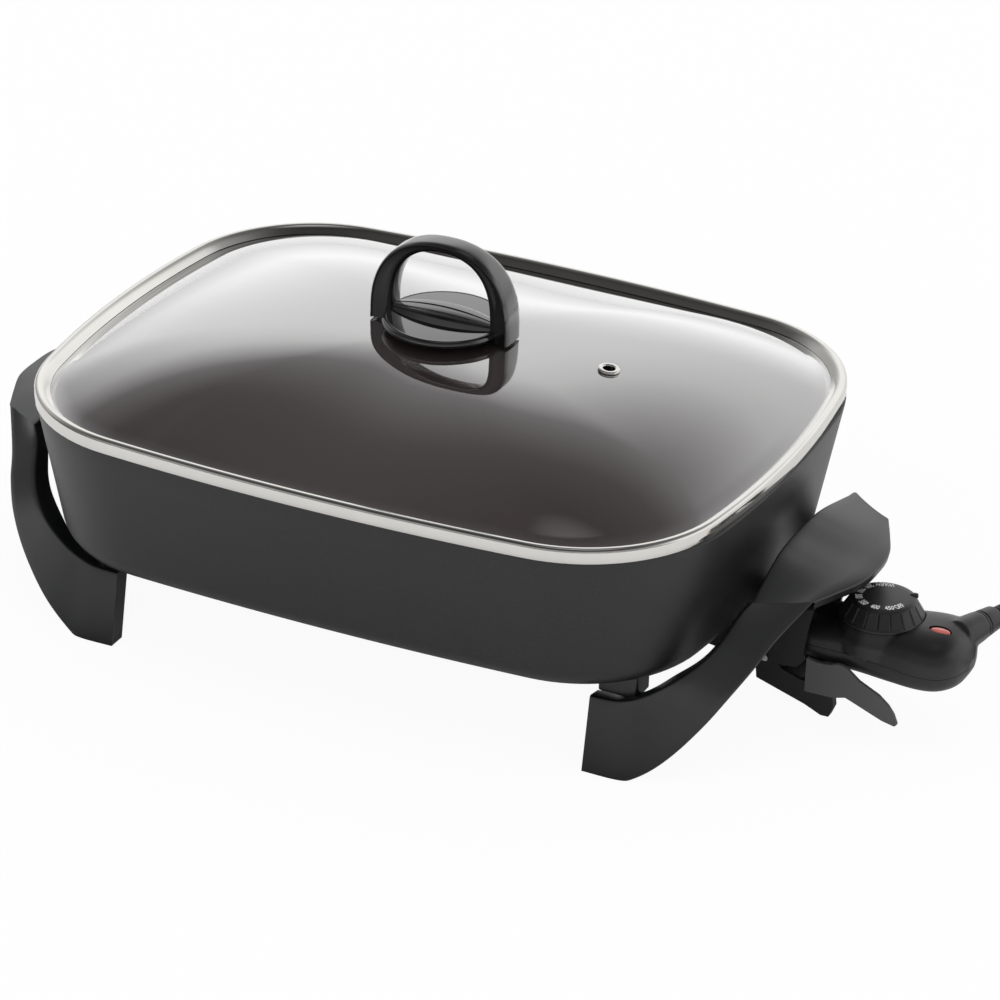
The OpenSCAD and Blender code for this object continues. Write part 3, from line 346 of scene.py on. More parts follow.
def dress(obj, body, finish, slot, *stands_for):
    """Gives a piece its finish, and lets it ride on a body in place of CAD nodes; its slot is not used."""
    obj.data.materials.clear()
    obj.data.materials.append(finish)
    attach(obj, body)
    if stands_for:
        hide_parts(*stands_for)
    return obj


# ---- finishes ----


class Socket:
    """An output of a node. Sums and products of sockets and numbers add Math nodes."""

    def __init__(self, paint, output):
        self.paint = paint
        self.output = output

    def _math(self, operation, a, b):
        return self.paint.add("ShaderNodeMath", {"operation": operation}, {0: a, 1: b})

    def __add__(self, other):
        return self._math("ADD", self, other)

    __radd__ = __add__

    def __sub__(self, other):
        return self._math("SUBTRACT", self, other)

    def __rsub__(self, other):
        return self._math("SUBTRACT", other, self)

    def __mul__(self, other):
        return self._math("MULTIPLY", self, other)

    __rmul__ = __mul__


class Paint:
    """The nodes of one finish."""

    def __init__(self, tree):
        self.tree = tree
        tree.nodes.clear()

    def add(self, kind, settings=None, inputs=None, output=0):
        """Adds a node: its settings first, then the values and links of its sockets."""
        node = self.tree.nodes.new(kind)
        for key, value in (settings or {}).items():
            if key == "stops":
                ramp = node.color_ramp
                while len(ramp.elements) < len(value):
                    ramp.elements.new(0.5)
                for stop, (place, level) in zip(ramp.elements, value):
                    stop.position = place
                    stop.color = (level, level, level, 1)
            else:
                setattr(node, key, value)
        for key, value in (inputs or {}).items():
            if isinstance(value, Socket):
                self.tree.links.new(value.output, node.inputs[key])
            else:
                node.inputs[key].default_value = value
        return Socket(self, node.outputs[output])

    def coordinates(self):
        return self.add("ShaderNodeTexCoord", output="Object")

    def grain(self, size, detail=2.0, roughness=0.5, stretch=None):
        """Soft noise whose spots are about size metres across."""
        where = self.coordinates()
        if stretch:
            where = self.add("ShaderNodeVectorMath", {"operation": "MULTIPLY"}, {0: where, 1: stretch})
        return self.add("ShaderNodeTexNoise", None,
                        {"Vector": where, "Scale": 1 / size, "Detail": detail, "Roughness": roughness})

    def mix(self, factor, a, b):
        """A colour between two colours."""
        def full(c):
            return c if isinstance(c, Socket) else tuple(c[:3]) + (1.0,)
        return self.add("ShaderNodeMix", {"data_type": "RGBA"}, {0: factor, 6: full(a), 7: full(b)}, 2)

    def bump(self, height, distance, strength=1.0):
        return self.add("ShaderNodeBump", None,
                        {"Height": height, "Distance": distance, "Strength": strength})

    def finish(self, shader):
        self.add_output("ShaderNodeOutputMaterial", shader)

    def add_output(self, kind, shader):
        node = self.tree.nodes.new(kind)
        self.tree.links.new(shader.output, node.inputs["Surface"])


def new_paint(name):
    material = bpy.data.materials.new(name)
    material.use_nodes = True
    return material, Paint(material.node_tree)


def shade(colour, factor):
    return tuple(c * factor for c in colour[:3])


def coated_metal(name, colour, rough=0.40):
    """Sprayed non-stick coating: fine specks in its colour and a pebbled skin."""
    material, p = new_paint(name)
    speck = p.grain(0.0007, 3.0, 0.6)
    cloud = p.grain(0.055, 2.0)
    mask = p.add("ShaderNodeValToRGB", {"stops": [(0.52, 0.0), (0.70, 1.0)]}, {"Fac": speck})
    body = p.mix(cloud, shade(colour, 0.85), shade(colour, 1.15))
    p.finish(p.add("ShaderNodeBsdfPrincipled", None, {
        "Base Color": p.mix(mask * 0.55, body, shade(colour, 3.2)),
        "Roughness": rough + (speck - 0.5) * 0.16 + (cloud - 0.5) * 0.06,
        "IOR": 1.5,
        "Normal": p.bump(p.grain(0.0011, 3.0, 0.55), 0.00012, 0.55)}))
    return material


def moulded(name, colour, rough, grain=0.0006, depth=0.00005, coat=0.0, ior=1.5):
    """Moulded plastic: a spark-eroded grain, and tone that drifts a little."""
    material, p = new_paint(name)
    cloud = p.grain(0.03, 2.0)
    fine = p.grain(grain, 3.0, 0.6)
    p.finish(p.add("ShaderNodeBsdfPrincipled", None, {
        "Base Color": p.mix(cloud, shade(colour, 0.86), shade(colour, 1.16)),
        "Roughness": rough + (cloud - 0.5) * 0.05 + (fine - 0.5) * 0.06,
        "IOR": ior,
        "Coat Weight": coat,
        "Coat Roughness": 0.06,
        "Normal": p.bump(fine, depth, 0.5)}))
    return material


def metal(name, colour, rough, streak=None, depth=0.00001):
    """Bare metal with fine marks, drawn out along one way where it is brushed."""
    material, p = new_paint(name)
    marks = p.grain(0.0012, 3.0, 0.6, streak)
    cloud = p.grain(0.02, 2.0)
    p.finish(p.add("ShaderNodeBsdfPrincipled", None, {
        "Base Color": p.mix(cloud, shade(colour, 0.93), shade(colour, 1.04)),
        "Metallic": 1.0,
        "Roughness": rough + (marks - 0.5) * 0.08 + (cloud - 0.5) * 0.04,
        "Normal": p.bump(marks, depth, 0.35)}))
    return material


# the lid's glass: what it lets through, the faint veil on it, and how many times more than plain
# glass it mirrors
GLASS_TINT, GLASS_VEIL, GLASS_SHEEN = (0.80, 0.765, 0.77), (0.020, 0.015, 0.015), 4.4


def clear_glass(name):
    """Tempered glass: it shows what is under it, tinted, and mirrors more at a shallow angle."""
    material, p = new_paint(name)
    outside = 1 - p.add("ShaderNodeNewGeometry", output="Backfacing")
    sheen = p.add("ShaderNodeFresnel", None, {"IOR": 1.5})
    haze = p.grain(0.05, 2.0)
    see = p.add("ShaderNodeAddShader", None, {
        0: p.add("ShaderNodeBsdfTransparent", None, {"Color": GLASS_TINT + (1.0,)}),
        1: p.add("ShaderNodeBsdfDiffuse", None, {"Color": GLASS_VEIL + (1.0,)})})
    mirror = p.add("ShaderNodeBsdfGlossy", None,
                   {"Color": (0.96, 0.96, 0.96, 1.0), "Roughness": 0.012 + haze * 0.012})
    factor = p.add("ShaderNodeMath", {"operation": "MULTIPLY", "use_clamp": True},
                   {0: sheen * GLASS_SHEEN, 1: outside})
    p.finish(p.add("ShaderNodeMixShader", None, {0: factor, 1: see, 2: mirror}))
    material.surface_render_method = "BLENDED"
    return material


FINISH = {}


def make_finishes(colours):
    FINISH.update({
        "nonstick": coated_metal("nonstick_coating", colours.coating),
        "phenolic": moulded("handle_moulding", colours.moulding, 0.30, 0.0008, 0.00005, 0.0, 1.62),
        "guard_plastic": moulded("guard_moulding", shade(colours.moulding, 0.6), 0.42, 0.0008, 0.00006),
        "lever_grey": moulded("lever_moulding", colours.lever, 0.50, 0.0007, 0.00007),
        "knob_gloss": moulded("knob_moulding", colours.knob, 0.085, 0.004, 0.00001, 0.8, 1.7),
        "housing_black": moulded("housing_moulding", colours.housing, 0.34, 0.0007, 0.00004),
        "dial_black": moulded("dial_moulding", shade(colours.housing, 1.1), 0.36, 0.0006, 0.00004),
        "cord_black": moulded("lead_jacket", (0.013, 0.013, 0.0135), 0.40, 0.0009, 0.00005),
        "gasket_rubber": moulded("gasket_rubber", (0.03, 0.03, 0.03), 0.6, 0.001, 0.00006),
        "ceramic": moulded("ceramic_body", (0.80, 0.78, 0.72), 0.55, 0.0006, 0.00004),
        "rim_steel": metal("polished_rim", colours.steel, 0.10, (1.0, 1.0, 0.15)),
        "pin_steel": metal("plated_steel", (0.72, 0.72, 0.73), 0.20),
        "screw_steel": metal("zinc_steel", (0.56, 0.56, 0.57), 0.32),
        "element_steel": metal("sheath_steel", (0.36, 0.34, 0.31), 0.45, None, 0.00004),
        "cast_aluminium": metal("cast_aluminium", (0.50, 0.50, 0.51), 0.48, None, 0.00008),
        "contact_brass": metal("spring_brass", (0.74, 0.55, 0.26), 0.26),
        "lid_glass": clear_glass("tempered_glass"),
        "lens_red": moulded("pilot_lens", colours.lens, 0.16, 0.003, 0.00002, 0.5),
        "figures": moulded("dial_figures", colours.figures, 0.5, 0.0008, 0.00001),
    })


# ---- the pieces ----


def build_pan(sizes):
    lip = sizes.lip_round / MM
    rings = []
    for radius_in, z in arc(FOOT_R, FOOT_R, FOOT_R, 270, 180, 9):
        rings.append(pan_ring(z, radius_in))
    for i in range(1, 6):
        rings.append(pan_ring(FOOT_R + (PAN_H - lip - FOOT_R) * i / 6, 0))
    rings += [pan_ring(z, inset) for inset, z in arc(lip, PAN_H - lip, lip, 180, 90, 5)]
    rings += [pan_ring(z, inset) for inset, z in arc(PAN_WALL - lip, PAN_H - lip, lip, 90, 0, 5)]
    for i in range(5, 0, -1):
        rings.append(pan_ring(PAN_FLOOR + FOOT_R + (PAN_H - lip - FOOT_R - PAN_FLOOR) * i / 6, PAN_WALL))
    for inset, z in arc(PAN_WALL + FOOT_R, PAN_FLOOR + FOOT_R, FOOT_R, 180, 270, 9):
        rings.append(pan_ring(z, inset))
    form = Form().loft(rings)
    low = BASE_Z - PAD_T
    pad = [[(x, y, z) for x, y in round_box(PAD_L / 2 - inset, PAD_W / 2 - inset, PAD_R - inset)]
           for inset, z in ((0.8, low), (0.2, low + 0.3), (0, low + 0.9), (0, BASE_Z + 1))]
    form.loft(pad)
    post_x, post_y = HALF_L - POST_IN_X, HALF_W - LEG_IN_Y - BOSS_IN_Y
    spots = [(sx * post_x, sy * post_y) for sx in (-1, 1) for sy in (-1, 1)]
    spots += [(PAD_L / 2 + 28, s * 32.0) for s in (-1, 1)]
    for x, y in spots:
        form.turn([(2.1, BASE_Z - 6), (5, BASE_Z - 6), (5, BASE_Z + 1), (2.1, BASE_Z + 1)], (x, y, 0),
                  steps=32, joined=True)
    return form.piece("pan_body", 45)


def build_rim():
    top = [(0.3, 8.0), (0.0, 7.6), (0.0, 4.6), (0.0, 2.3)]
    top += [(2.3 + x, 2.3 - y) for x, y in arc(0, 0, 2.3, 180, 90, 8)][1:]
    top += [(3.3, 0.06), (4.1, 0.28), (4.9, 0.75), (5.7, 1.42), (6.5, 2.2), (7.3, 3.0), (8.0, 3.7),
            (8.4, 4.1)]
    under = [(7.5, 4.2), (4.3, 2.5), (3.2, 0.9), (2.1, 0.95), (1.2, 1.6), (0.9, 2.3), (0.9, 7.1),
             (4.6, 7.1), (4.8, 7.5), (10.8, 7.4), (10.8, 8.3), (6.0, 8.3), (5.8, 8.0)]
    rings = [lid_ring(inset, drop) for inset, drop in top + under]
    return Form().loft(rings, joined=True).piece("lid_band", 50)


def dome_rise(point, share):
    x, y = point
    fall = 2.2 + 1.4 * x * x / (x * x + y * y)
    return DOME_H * (1 - share ** fall) / (1 - FLAT_SHARE ** fall)


def build_glass():
    outline = lid_outline(GLASS_START)

    def ring(share, drop):
        return [(x * share, y * share, GLASS_Z - drop + dome_rise((x, y), share)) for x, y in outline]

    def hole(drop):
        return [(KNOB_HOLE_R * x / math.hypot(x, y), KNOB_HOLE_R * y / math.hypot(x, y), GLASS_TOP - drop)
                for x, y in outline]

    steps = 22
    shares = [1 - (1 - FLAT_SHARE) * i / steps for i in range(steps + 1)]
    edge = lid_outline(GLASS_EDGE)
    rings = [hole(GLASS_T)] + [ring(s, GLASS_T) for s in reversed(shares)]
    rings += [[(x, y, z) for x, y in edge] for z in (GLASS_Z - GLASS_T + 0.1, GLASS_Z - 0.1)]
    rings += [ring(s, 0) for s in shares] + [hole(0)]
    glass = Form().loft(rings, joined=True).piece("lid_dome", 60)
    place, lean = vent_place()
    axis = (math.sin(lean), 0, math.cos(lean))
    hole_r = VENT_HOLE_R + 1
    cut(glass, Form().turn([(hole_r, -12), (hole_r, 12)], place, axis, 48))
    soften(glass, 60)
    return glass


def vent_place():
    """Middle of the vent on the glass, and how far its axis leans along X."""
    share = VENT_X / (HALF_L - GLASS_START)
    z = GLASS_Z + dome_rise((1, 0), share)
    fall = dome_rise((1, 0), share - 0.03) - dome_rise((1, 0), share + 0.03)
    return (VENT_X, 0, z), math.atan(fall / (0.06 * (HALF_L - GLASS_START)))


def build_eyelet():
    place, lean = vent_place()
    axis = Vector((math.sin(lean), 0, math.cos(lean)))
    r, hole = VENT_R, VENT_HOLE_R
    profile = [(hole, -4.8), (hole + 0.9, -4.8), (hole + 0.9, 0), (r - 0.1, 0), (r, 0.25)]
    profile += arc(r - 0.7, 0.75, 0.7, 0, 90, 5) + [(r - 1.2, 1.47)]
    profile += arc(hole + 0.75, 0.72, 0.75, 90, 180, 6)
    return Form().turn(profile, Vector(place) + axis * 0.2, axis, 64, joined=True).piece("vent_eyelet", 50)


def grip_stations():
    fx, fy = HALF_L - LEG_IN_X, HALF_W - LEG_IN_Y
    out = [fraction * GRIP_OUT_Z for fraction in (0.035, 0.18, 0.38, 0.56, 0.70, 0.82)]
    into = [LEG_H + (GRIP_IN_Z - LEG_H) * f for f in (0.01, 0.05, 0.14, 0.28, 0.42, 0.57, 0.77, 0.875, 0.98)]
    hl = HALF_L
    rows = [
        ((fx, -fy - 0.4, -2), (fx, -fy + 7, LEG_H), LEG_T),
        ((hl - 44, -fy - 0.4, -2), (hl - 49, -fy + 7, into[0]), LEG_T),
        ((hl - 31, -fy + 3, out[0]), (hl - 40, -fy + 7, into[1]), LEG_T),
        ((hl - 16, -fy + 6, out[1]), (hl - 30, -fy + 7, into[2]), LEG_T - 1),
        ((hl - 1, -fy + 12, out[2]), (hl - 18, -fy + 10, into[3]), LEG_T + 1),
        ((hl + 10, -fy + 20, out[3]), (hl - 8, -fy + 17, into[4]), LEG_T + 1),
        ((hl + 18, -fy + 31, out[4]), (hl - 1, -fy + 26, into[5]), GRIP_T + 4),
        ((hl + 24, -GRIP_HALF, out[5]), (hl + GRIP_GAP, -GRIP_HALF - 5, into[6]), GRIP_T + 2),
        ((hl + GRIP_REACH - 15, -GRIP_HALF + 19, GRIP_OUT_Z),
         (hl + GRIP_GAP + 4.5, -GRIP_HALF, into[7]), GRIP_T),
        ((hl + GRIP_REACH - 7.8, -GRIP_HALF / 2, GRIP_OUT_Z),
         (hl + GRIP_GAP + 1.5, -GRIP_HALF / 2, into[8]), GRIP_T),
        ((hl + GRIP_REACH - 1.2, -GRIP_HALF / 4, GRIP_OUT_Z),
         (hl + GRIP_GAP + 0.3, -GRIP_HALF / 4, GRIP_IN_Z), GRIP_T),
        ((hl + GRIP_REACH, 0, GRIP_OUT_Z), (hl + GRIP_GAP, 0, GRIP_IN_Z), GRIP_T)]
    back = [((o[0], -o[1], o[2]), (i[0], -i[1], i[2]), t) for o, i, t in reversed(rows[:-1])]
    return rows + back


def grip_section(rows, t):
    """One section of a handle: across its upper face and back along its underside.

    The legs and the grip are runs of their own, so a crease stays where they meet."""
    last = len(rows) - 1
    turn = (GRIP_CREASE, last - GRIP_CREASE)
    low, high = (0, turn[0]) if t < turn[0] else turn if t <= turn[1] else (turn[1], last)
    run, s = rows[low:high + 1], t - low
    outer, inner = [Vector(r[0]) for r in run], [Vector(r[1]) for r in run]
    o, i = blend(outer, s), blend(inner, s)
    before, after = max(s - 0.05, 0), min(s + 0.05, high - low)
    along = (blend(outer, after) + blend(inner, after)
             - blend(outer, before) - blend(inner, before)).normalized()
    w = (i - o).length
    u = (i - o) / w
    down = u.cross(along).normalized()
    thick = blend([r[2] for r in run], s)
    r = 1.3
    dip = 2 * max(0.0, 1 - ((t - last / 2) / 4) ** 2)
    flat = arc(r, r, r, 180, 270, 4)
    flat += [(w * f, dip * math.sin(math.pi * f)) for f in (0.2, 0.35, 0.5, 0.65, 0.8)]
    flat += arc(w - r, r, r, 270, 360, 4) + arc(w - r, thick - r, r, 0, 90, 4)
    flat += [(w / 2, thick + dip / 2)] + arc(r, thick - r, r, 90, 180, 4)
    return [o + u * a + down * b for a, b in flat]


def build_grip(name, side):
    rows = grip_stations()
    steps = 8
    places = [k / steps for k in range((len(rows) - 1) * steps + 1)]
    for crease in (GRIP_CREASE, len(rows) - 1 - GRIP_CREASE):
        places += [crease - 0.03, crease + 0.03]
    rings = [[(side * p.x, p.y, p.z) for p in grip_section(rows, t)] for t in sorted(places)]
    grip = Form().loft(rings).piece(name)
    work = bmesh.new()
    work.from_mesh(grip.data)
    trim(work, 0, 1)
    posts = Form()
    for sy in (-1, 1):
        cx, cy = side * (HALF_L - POST_IN_X), sy * (HALF_W - LEG_IN_Y - POST_IN_Y)
        rings = [[(cx + x, cy + y, z) for x, y in round_box(11 - inset, 8 - inset, 1.6, 4)]
                 for inset, z in ((0.6, BASE_Z - 12), (0, BASE_Z - 11.4), (0, BASE_Z - 0.02))]
        posts.loft(rings)
    work.from_mesh(posts.mesh(name + "_posts"))
    bmesh.ops.recalc_face_normals(work, faces=work.faces)
    work.to_mesh(grip.data)
    work.free()
    soften(grip, 38)
    return grip


def arch_section(angle):
    """The knob's arch cut square to its run: a crowned strip outside, and faces that close in
    towards the hand opening."""
    c, s = math.cos(angle), math.sin(angle)
    rise = ARCH_H - DISC_T
    centre = Vector((ARCH_HALF * math.copysign(abs(c) ** 0.88, c), 0, DISC_T + rise * max(s, 0) ** 0.84))
    slope = Vector((c / ARCH_HALF, 0, s / rise)).normalized()
    w = BAND_T + BAND_MORE * c * c
    d = (ARCH_DEEP + 3 * c * c) / 2
    half = [(0.0, 0.0), (0.04, 0.35), (0.12, 0.6), (0.28, 0.78), (0.34, 0.80), (0.42, 0.82), (0.62, 0.92),
            (0.85, 0.97), (1.15, 1.0), (1.5, 0.995), (1.75, 0.965), (1.9, 0.925), (2.3, 0.90),
            (0.62 * w, 0.865), (0.84 * w, 0.80), (0.95 * w, 0.70), (w, 0.55), (w, 0.0)]
    ring = half + [(u, -v) for u, v in reversed(half[1:-1])]
    return [centre - slope * u + Vector((0, d * v, 0)) for u, v in ring]


def build_knob():
    form = Form()
    lift = Vector((0, 0, KNOB_Z))
    steps = 84
    rings = [[p + lift for p in arch_section(math.pi * i / steps)] for i in range(steps + 1)]
    feet = [[(p.x, p.y, KNOB_Z + 0.3) for p in ring] for ring in (rings[0], rings[-1])]
    form.loft([feet[0]] + rings + [feet[1]])
    disc = [(0.01, 0), (16, 0), (16.9, 0.3), (17.8, 1.0), (19.5, 1.3), (DISC_R - 2.6, 1.6)]
    disc += arc(DISC_R - 2.1, DISC_T - 2.1, 2.1, 300, 450, 12)
    disc += [(DISC_R - 2.3, DISC_T - 0.12), (DISC_R - 2.6, DISC_T - 0.2), (DISC_R - 3.1, DISC_T - 0.16),
             (0.01, DISC_T - 0.1)]
    form.turn(disc, (0, 0, KNOB_Z), steps=144)
    half = ARCH_HALF - 5

    def leaf(share, z, crown):
        """A pointed oval, raised along its middle by its crown."""
        ring = []
        for a in angles(112):
            c, s = math.cos(a), math.sin(a)
            ring.append((half * c, 12 * share * math.copysign(abs(s) ** 1.5, s),
                         KNOB_Z + z + crown * (1 - c * c)))
        return ring

    form.loft([leaf(1.0, 4.8, 0), leaf(0.98, 5.9, 0.2), leaf(0.93, 6.0, 0.9), leaf(0.90, 6.1, 1.8),
               leaf(0.88, 6.2, 2.5), leaf(0.855, 6.25, 2.9), leaf(0.80, 6.3, 3.2), leaf(0.68, 6.35, 3.65),
               leaf(0.58, 6.4, 3.95), leaf(0.535, 6.4, 4.0), leaf(0.53, 6.4, 4.45), leaf(0.51, 6.4, 4.7),
               leaf(0.47, 6.4, 4.8), leaf(0.08, 6.4, 4.9)])
    return form.piece("lid_handle", 32)


POD_SHARES = [Vector(v) for v in (
    (0.00, 0.00, 0.56, 0.82), (0.20, 0.00, 0.72, 0.98), (0.40, 0.10, 0.84, 1.00), (0.58, 0.55, 0.96, 1.00),
    (0.76, 1.00, 1.04, 0.95), (0.88, 0.72, 1.00, 0.84), (0.96, -0.55, 0.72, 0.62), (1.00, -2.60, 0.18, 0.20))]


def pod_ring(t, side):
    """One section of the housing's upper half, side 1, or its lower half, side -1."""
    v = blend(POD_SHARES, t * (len(POD_SHARES) - 1))
    w = max(NOSE_HALF + (HOUSING_HALF - NOSE_HALF) * v[1], 2.5)
    h = HOUSING_UP * v[2] if side > 0 else HOUSING_DOWN * v[3]
    ring = []
    for i in range(29):
        a = math.pi * i / 28
        c, s = math.cos(a), math.sin(a)
        ring.append((NOSE_X + HOUSING_L * v[0], w * math.copysign(abs(c) ** 0.72, c),
                     SEAM_Z + side * h * max(s, 0) ** 0.72))
    # the skin runs on past the seam, where it is trimmed once it is eased
    return [(ring[0][0], w, SEAM_Z - 3 * side)] + ring + [(ring[0][0], -w, SEAM_Z - 3 * side)]


def build_housing(sizes, name, side):
    """One half of the housing: its parts are melted into one skin, eased, and trimmed at the seam."""
    form = Form().loft([pod_ring(k / 56, side) for k in range(57)])
    if side > 0:
        form.turn([(DIAL_R + 1.6, SEAM_Z + 1), (DIAL_R + 1.4, SEAM_Z + 8), (DIAL_R + 0.2, SEAM_Z + 11),
                   (DIAL_R - 1.2, SEAM_Z + 15.6), (DIAL_R - 2.4, SEAM_Z + 17)], (DIAL_X, 0, 0))
        form.turn([(9.6, -6), (9.2, 0), (8.6, 6), (8.1, 11), (7.8, COLLAR_OUT)], RELIEF_START, RELIEF_DIR, 48)
    shell = form.piece(name)
    melt = shell.modifiers.new("Join", "REMESH")
    melt.mode = "VOXEL"
    melt.voxel_size = 0.0007
    ease = shell.modifiers.new("Ease", "SMOOTH")
    ease.factor = 0.5
    ease.iterations = sizes.housing_blend
    settle(shell)
    work = bmesh.new()
    work.from_mesh(shell.data)
    trim(work, (SEAM_Z + side * SEAM_HALF) * MM, side)
    bmesh.ops.recalc_face_normals(work, faces=work.faces)
    work.to_mesh(shell.data)
    work.free()
    ways = Form()
    for y in (-PIN_Y, PIN_Y):
        ways.turn([(PIN_WAY_R, -3), (PIN_WAY_R, 30)], (NOSE_X, y, AXIS_Z), (1, 0, 0), 40)
    ways.turn([(PROBE_WAY_R, -3), (PROBE_WAY_R, 34)], (NOSE_X, 0, AXIS_Z), (1, 0, 0), 40)
    if side > 0:
        ways.loft([[(x, y, z) for x, y in lens_outline(6.2, 3.4)] for z in (LENS_Z - 3, LENS_Z + 4)])
        ways.turn([(DIAL_R + 0.5, DIAL_Z - 0.4), (DIAL_R + 0.5, DIAL_Z + 12)], (DIAL_X, 0, 0))
        ways.turn([(3.1, SEAM_Z + 6), (3.1, SEAM_Z + 22)], (DIAL_X, 0, 0), steps=32)
    cut(shell, ways)
    soften(shell, 50)
    return shell


def build_dial(sizes):
    """A cone with a lip, flat facets parted by grooves, and a rounded shoulder."""
    count = sizes.facets

    def flank(r, h, t):
        if not 1.7 < h < DIAL_H - 1.6:
            return r
        off = (t * count / (2 * math.pi)) % 1 - 0.5
        facet = math.cos(math.pi / count) / math.cos(2 * math.pi * off / count)
        groove = 0.75 * max(0.0, 1 - ((0.5 - abs(off)) / 0.07) ** 2)
        return r * (0.3 + 0.7 * facet) - groove

    low, high = DIAL_R - 0.5, DIAL_TOP_R + 0.9
    profile = [(3.2, 1)]
    profile += [(DIAL_R - inset, h) for inset, h in
                ((2, 1), (2, 0.1), (0.2, 0.0), (0, 0.2), (0, 0.8), (0.2, 1.15), (0.5, 1.6))]
    profile += [(low + (high - low) * f, 1.8 + (DIAL_H - 4.0) * f)
                for f in (0, 0.02, 0.25, 0.5, 0.75, 0.98, 1)]
    profile += [(DIAL_TOP_R + out, DIAL_H - drop) for out, drop in
                ((0.75, 1.75), (0.3, 1.2), (-0.4, 0.72), (-1.4, 0.35), (-2.6, 0.12), (-4, 0))]
    profile.append((0.01, DIAL_H))
    dial = Form().turn(profile + [(0.01, 1)], (DIAL_X, 0, DIAL_Z), steps=count * 18,
                       shape=flank).piece("control_dial", 28)
    turn = Matrix.Rotation(math.radians(POINTER_TURN), 3, "Z")
    rings = []
    for share, z in ((1.0, -1.6), (1.0, 0.1), (0.93, 0.42), (0.75, 0.65), (0.4, 0.78)):
        ring = []
        for a in angles(32):
            spot = Vector((DIAL_TOP_R - 0.8 + 2.3 * share * math.cos(a), 1.5 * share * math.sin(a), 0))
            ring.append(turn @ spot + Vector((DIAL_X, 0, DIAL_Z + DIAL_H - 0.35 + z)))
        rings.append(ring)
    return dial, Form().loft(rings).piece("dial_pointer", 40)


FIGURES = (("OFF", -30), ("450", -55), ("400", -88), ("350", -121), ("300", -152), ("250", 178), ("200", 148),
           ("WARM", 108))


def build_figures(sizes):
    """The figures on the dial, their feet towards its edge."""
    made = []
    for word, angle in FIGURES:
        text = bpy.data.curves.new("figure_" + word, "FONT")
        text.body = word
        text.align_x, text.align_y = "CENTER", "CENTER"
        text.size = sizes.figure_height * FIGURE_EM
        text.extrude = 0.00006
        text.offset = 0.00008
        a = math.radians(angle)
        spot = Vector((DIAL_X + FIGURE_RING * math.cos(a), FIGURE_RING * math.sin(a),
                       DIAL_Z + DIAL_H + 0.02))
        label = put("figure_" + word, text)
        label.matrix_world = (Matrix.Translation(placed(spot))
                              @ Matrix.Rotation(a + math.pi / 2, 4, "Z")
                              @ Matrix.Diagonal((FIGURE_NARROW, 1, 1, 1)))
        made.append(label)
    return made


def lens_outline(a, b):
    return [(LENS_X + a * math.cos(t), LENS_Y + b * math.sin(t)) for t in angles(48)]


def build_lens():
    rings = []
    for grow, z in ((1.0, -4), (1.0, -0.5), (0.97, 0.0), (0.86, 0.35), (0.6, 0.62), (0.25, 0.72)):
        rings.append([(x, y, LENS_Z + z) for x, y in lens_outline(5.4 * grow, 2.7 * grow)])
    return Form().loft(rings).piece("pilot_window", 45)


def build_relief():
    """The lead's sleeve: a plain thick stretch, a step, and rings along the rest of it."""
    profile = [(3.5, 1), (6, 1)]
    profile += [(r, COLLAR_OUT + z) for r, z in
                ((6, -0.4), (7.3, -0.3), (7.7, 0), (7.55, 1.2), (7.0, 1.5), (7.0, 2.1), (7.45, 2.4),
                 (6.6, 11), (6.3, 11.7), (5.6, 12))]
    end = COLLAR_OUT + RELIEF_L
    z = COLLAR_OUT + 12.2
    while z < end - 3:
        r = 4.2 + 0.8 * (end - z) / 16
        profile += [(r, z), (r, z + 1.5), (r - 0.5, z + 1.8), (r - 0.5, z + 2.3)]
        z += 2.6
    profile += [(4.3, end - 1), (4.1, end - 0.2), (3.5, end)]
    return Form().turn(profile, RELIEF_START, RELIEF_DIR, 48, joined=True).piece("lead_sleeve", 45)


# the lead's way down to the floor: how far along, how far down
CORD_DROP = ((0, 0), (10, 0), (20, 2), (30, 7.5), (39, 16), (47, 26), (55, 36), (64, 45), (74, 50.6),
             (86, 53), (98, 53.6))
DROP_RUN, DROP_FALL = CORD_DROP[-1]
FLOOR_Z = CORD_D / 2
COIL_Z = FLOOR_Z + 1.5
RELIEF_END = RELIEF_START + RELIEF_DIR * (COLLAR_OUT + RELIEF_L)
COIL_C = Vector((RELIEF_END.x + 4 + COIL_R, 160, 0))
COIL_STEP = CORD_D + TURN_GAP
PLUG_HALF, TAIL = 8.5, 40.0


def coil_point(turn):
    inward = turn if turn < COIL_TURNS / 2 else COIL_TURNS - turn
    r = COIL_R - COIL_STEP * inward
    climb = min(max((turn - COIL_TURNS / 2 + 0.25) / 0.5, 0), 1)
    a = math.radians(180 - 360 * turn)
    return Vector((COIL_C.x + r * math.cos(a), COIL_C.y + r * math.sin(a), COIL_Z + COIL_STEP * climb))


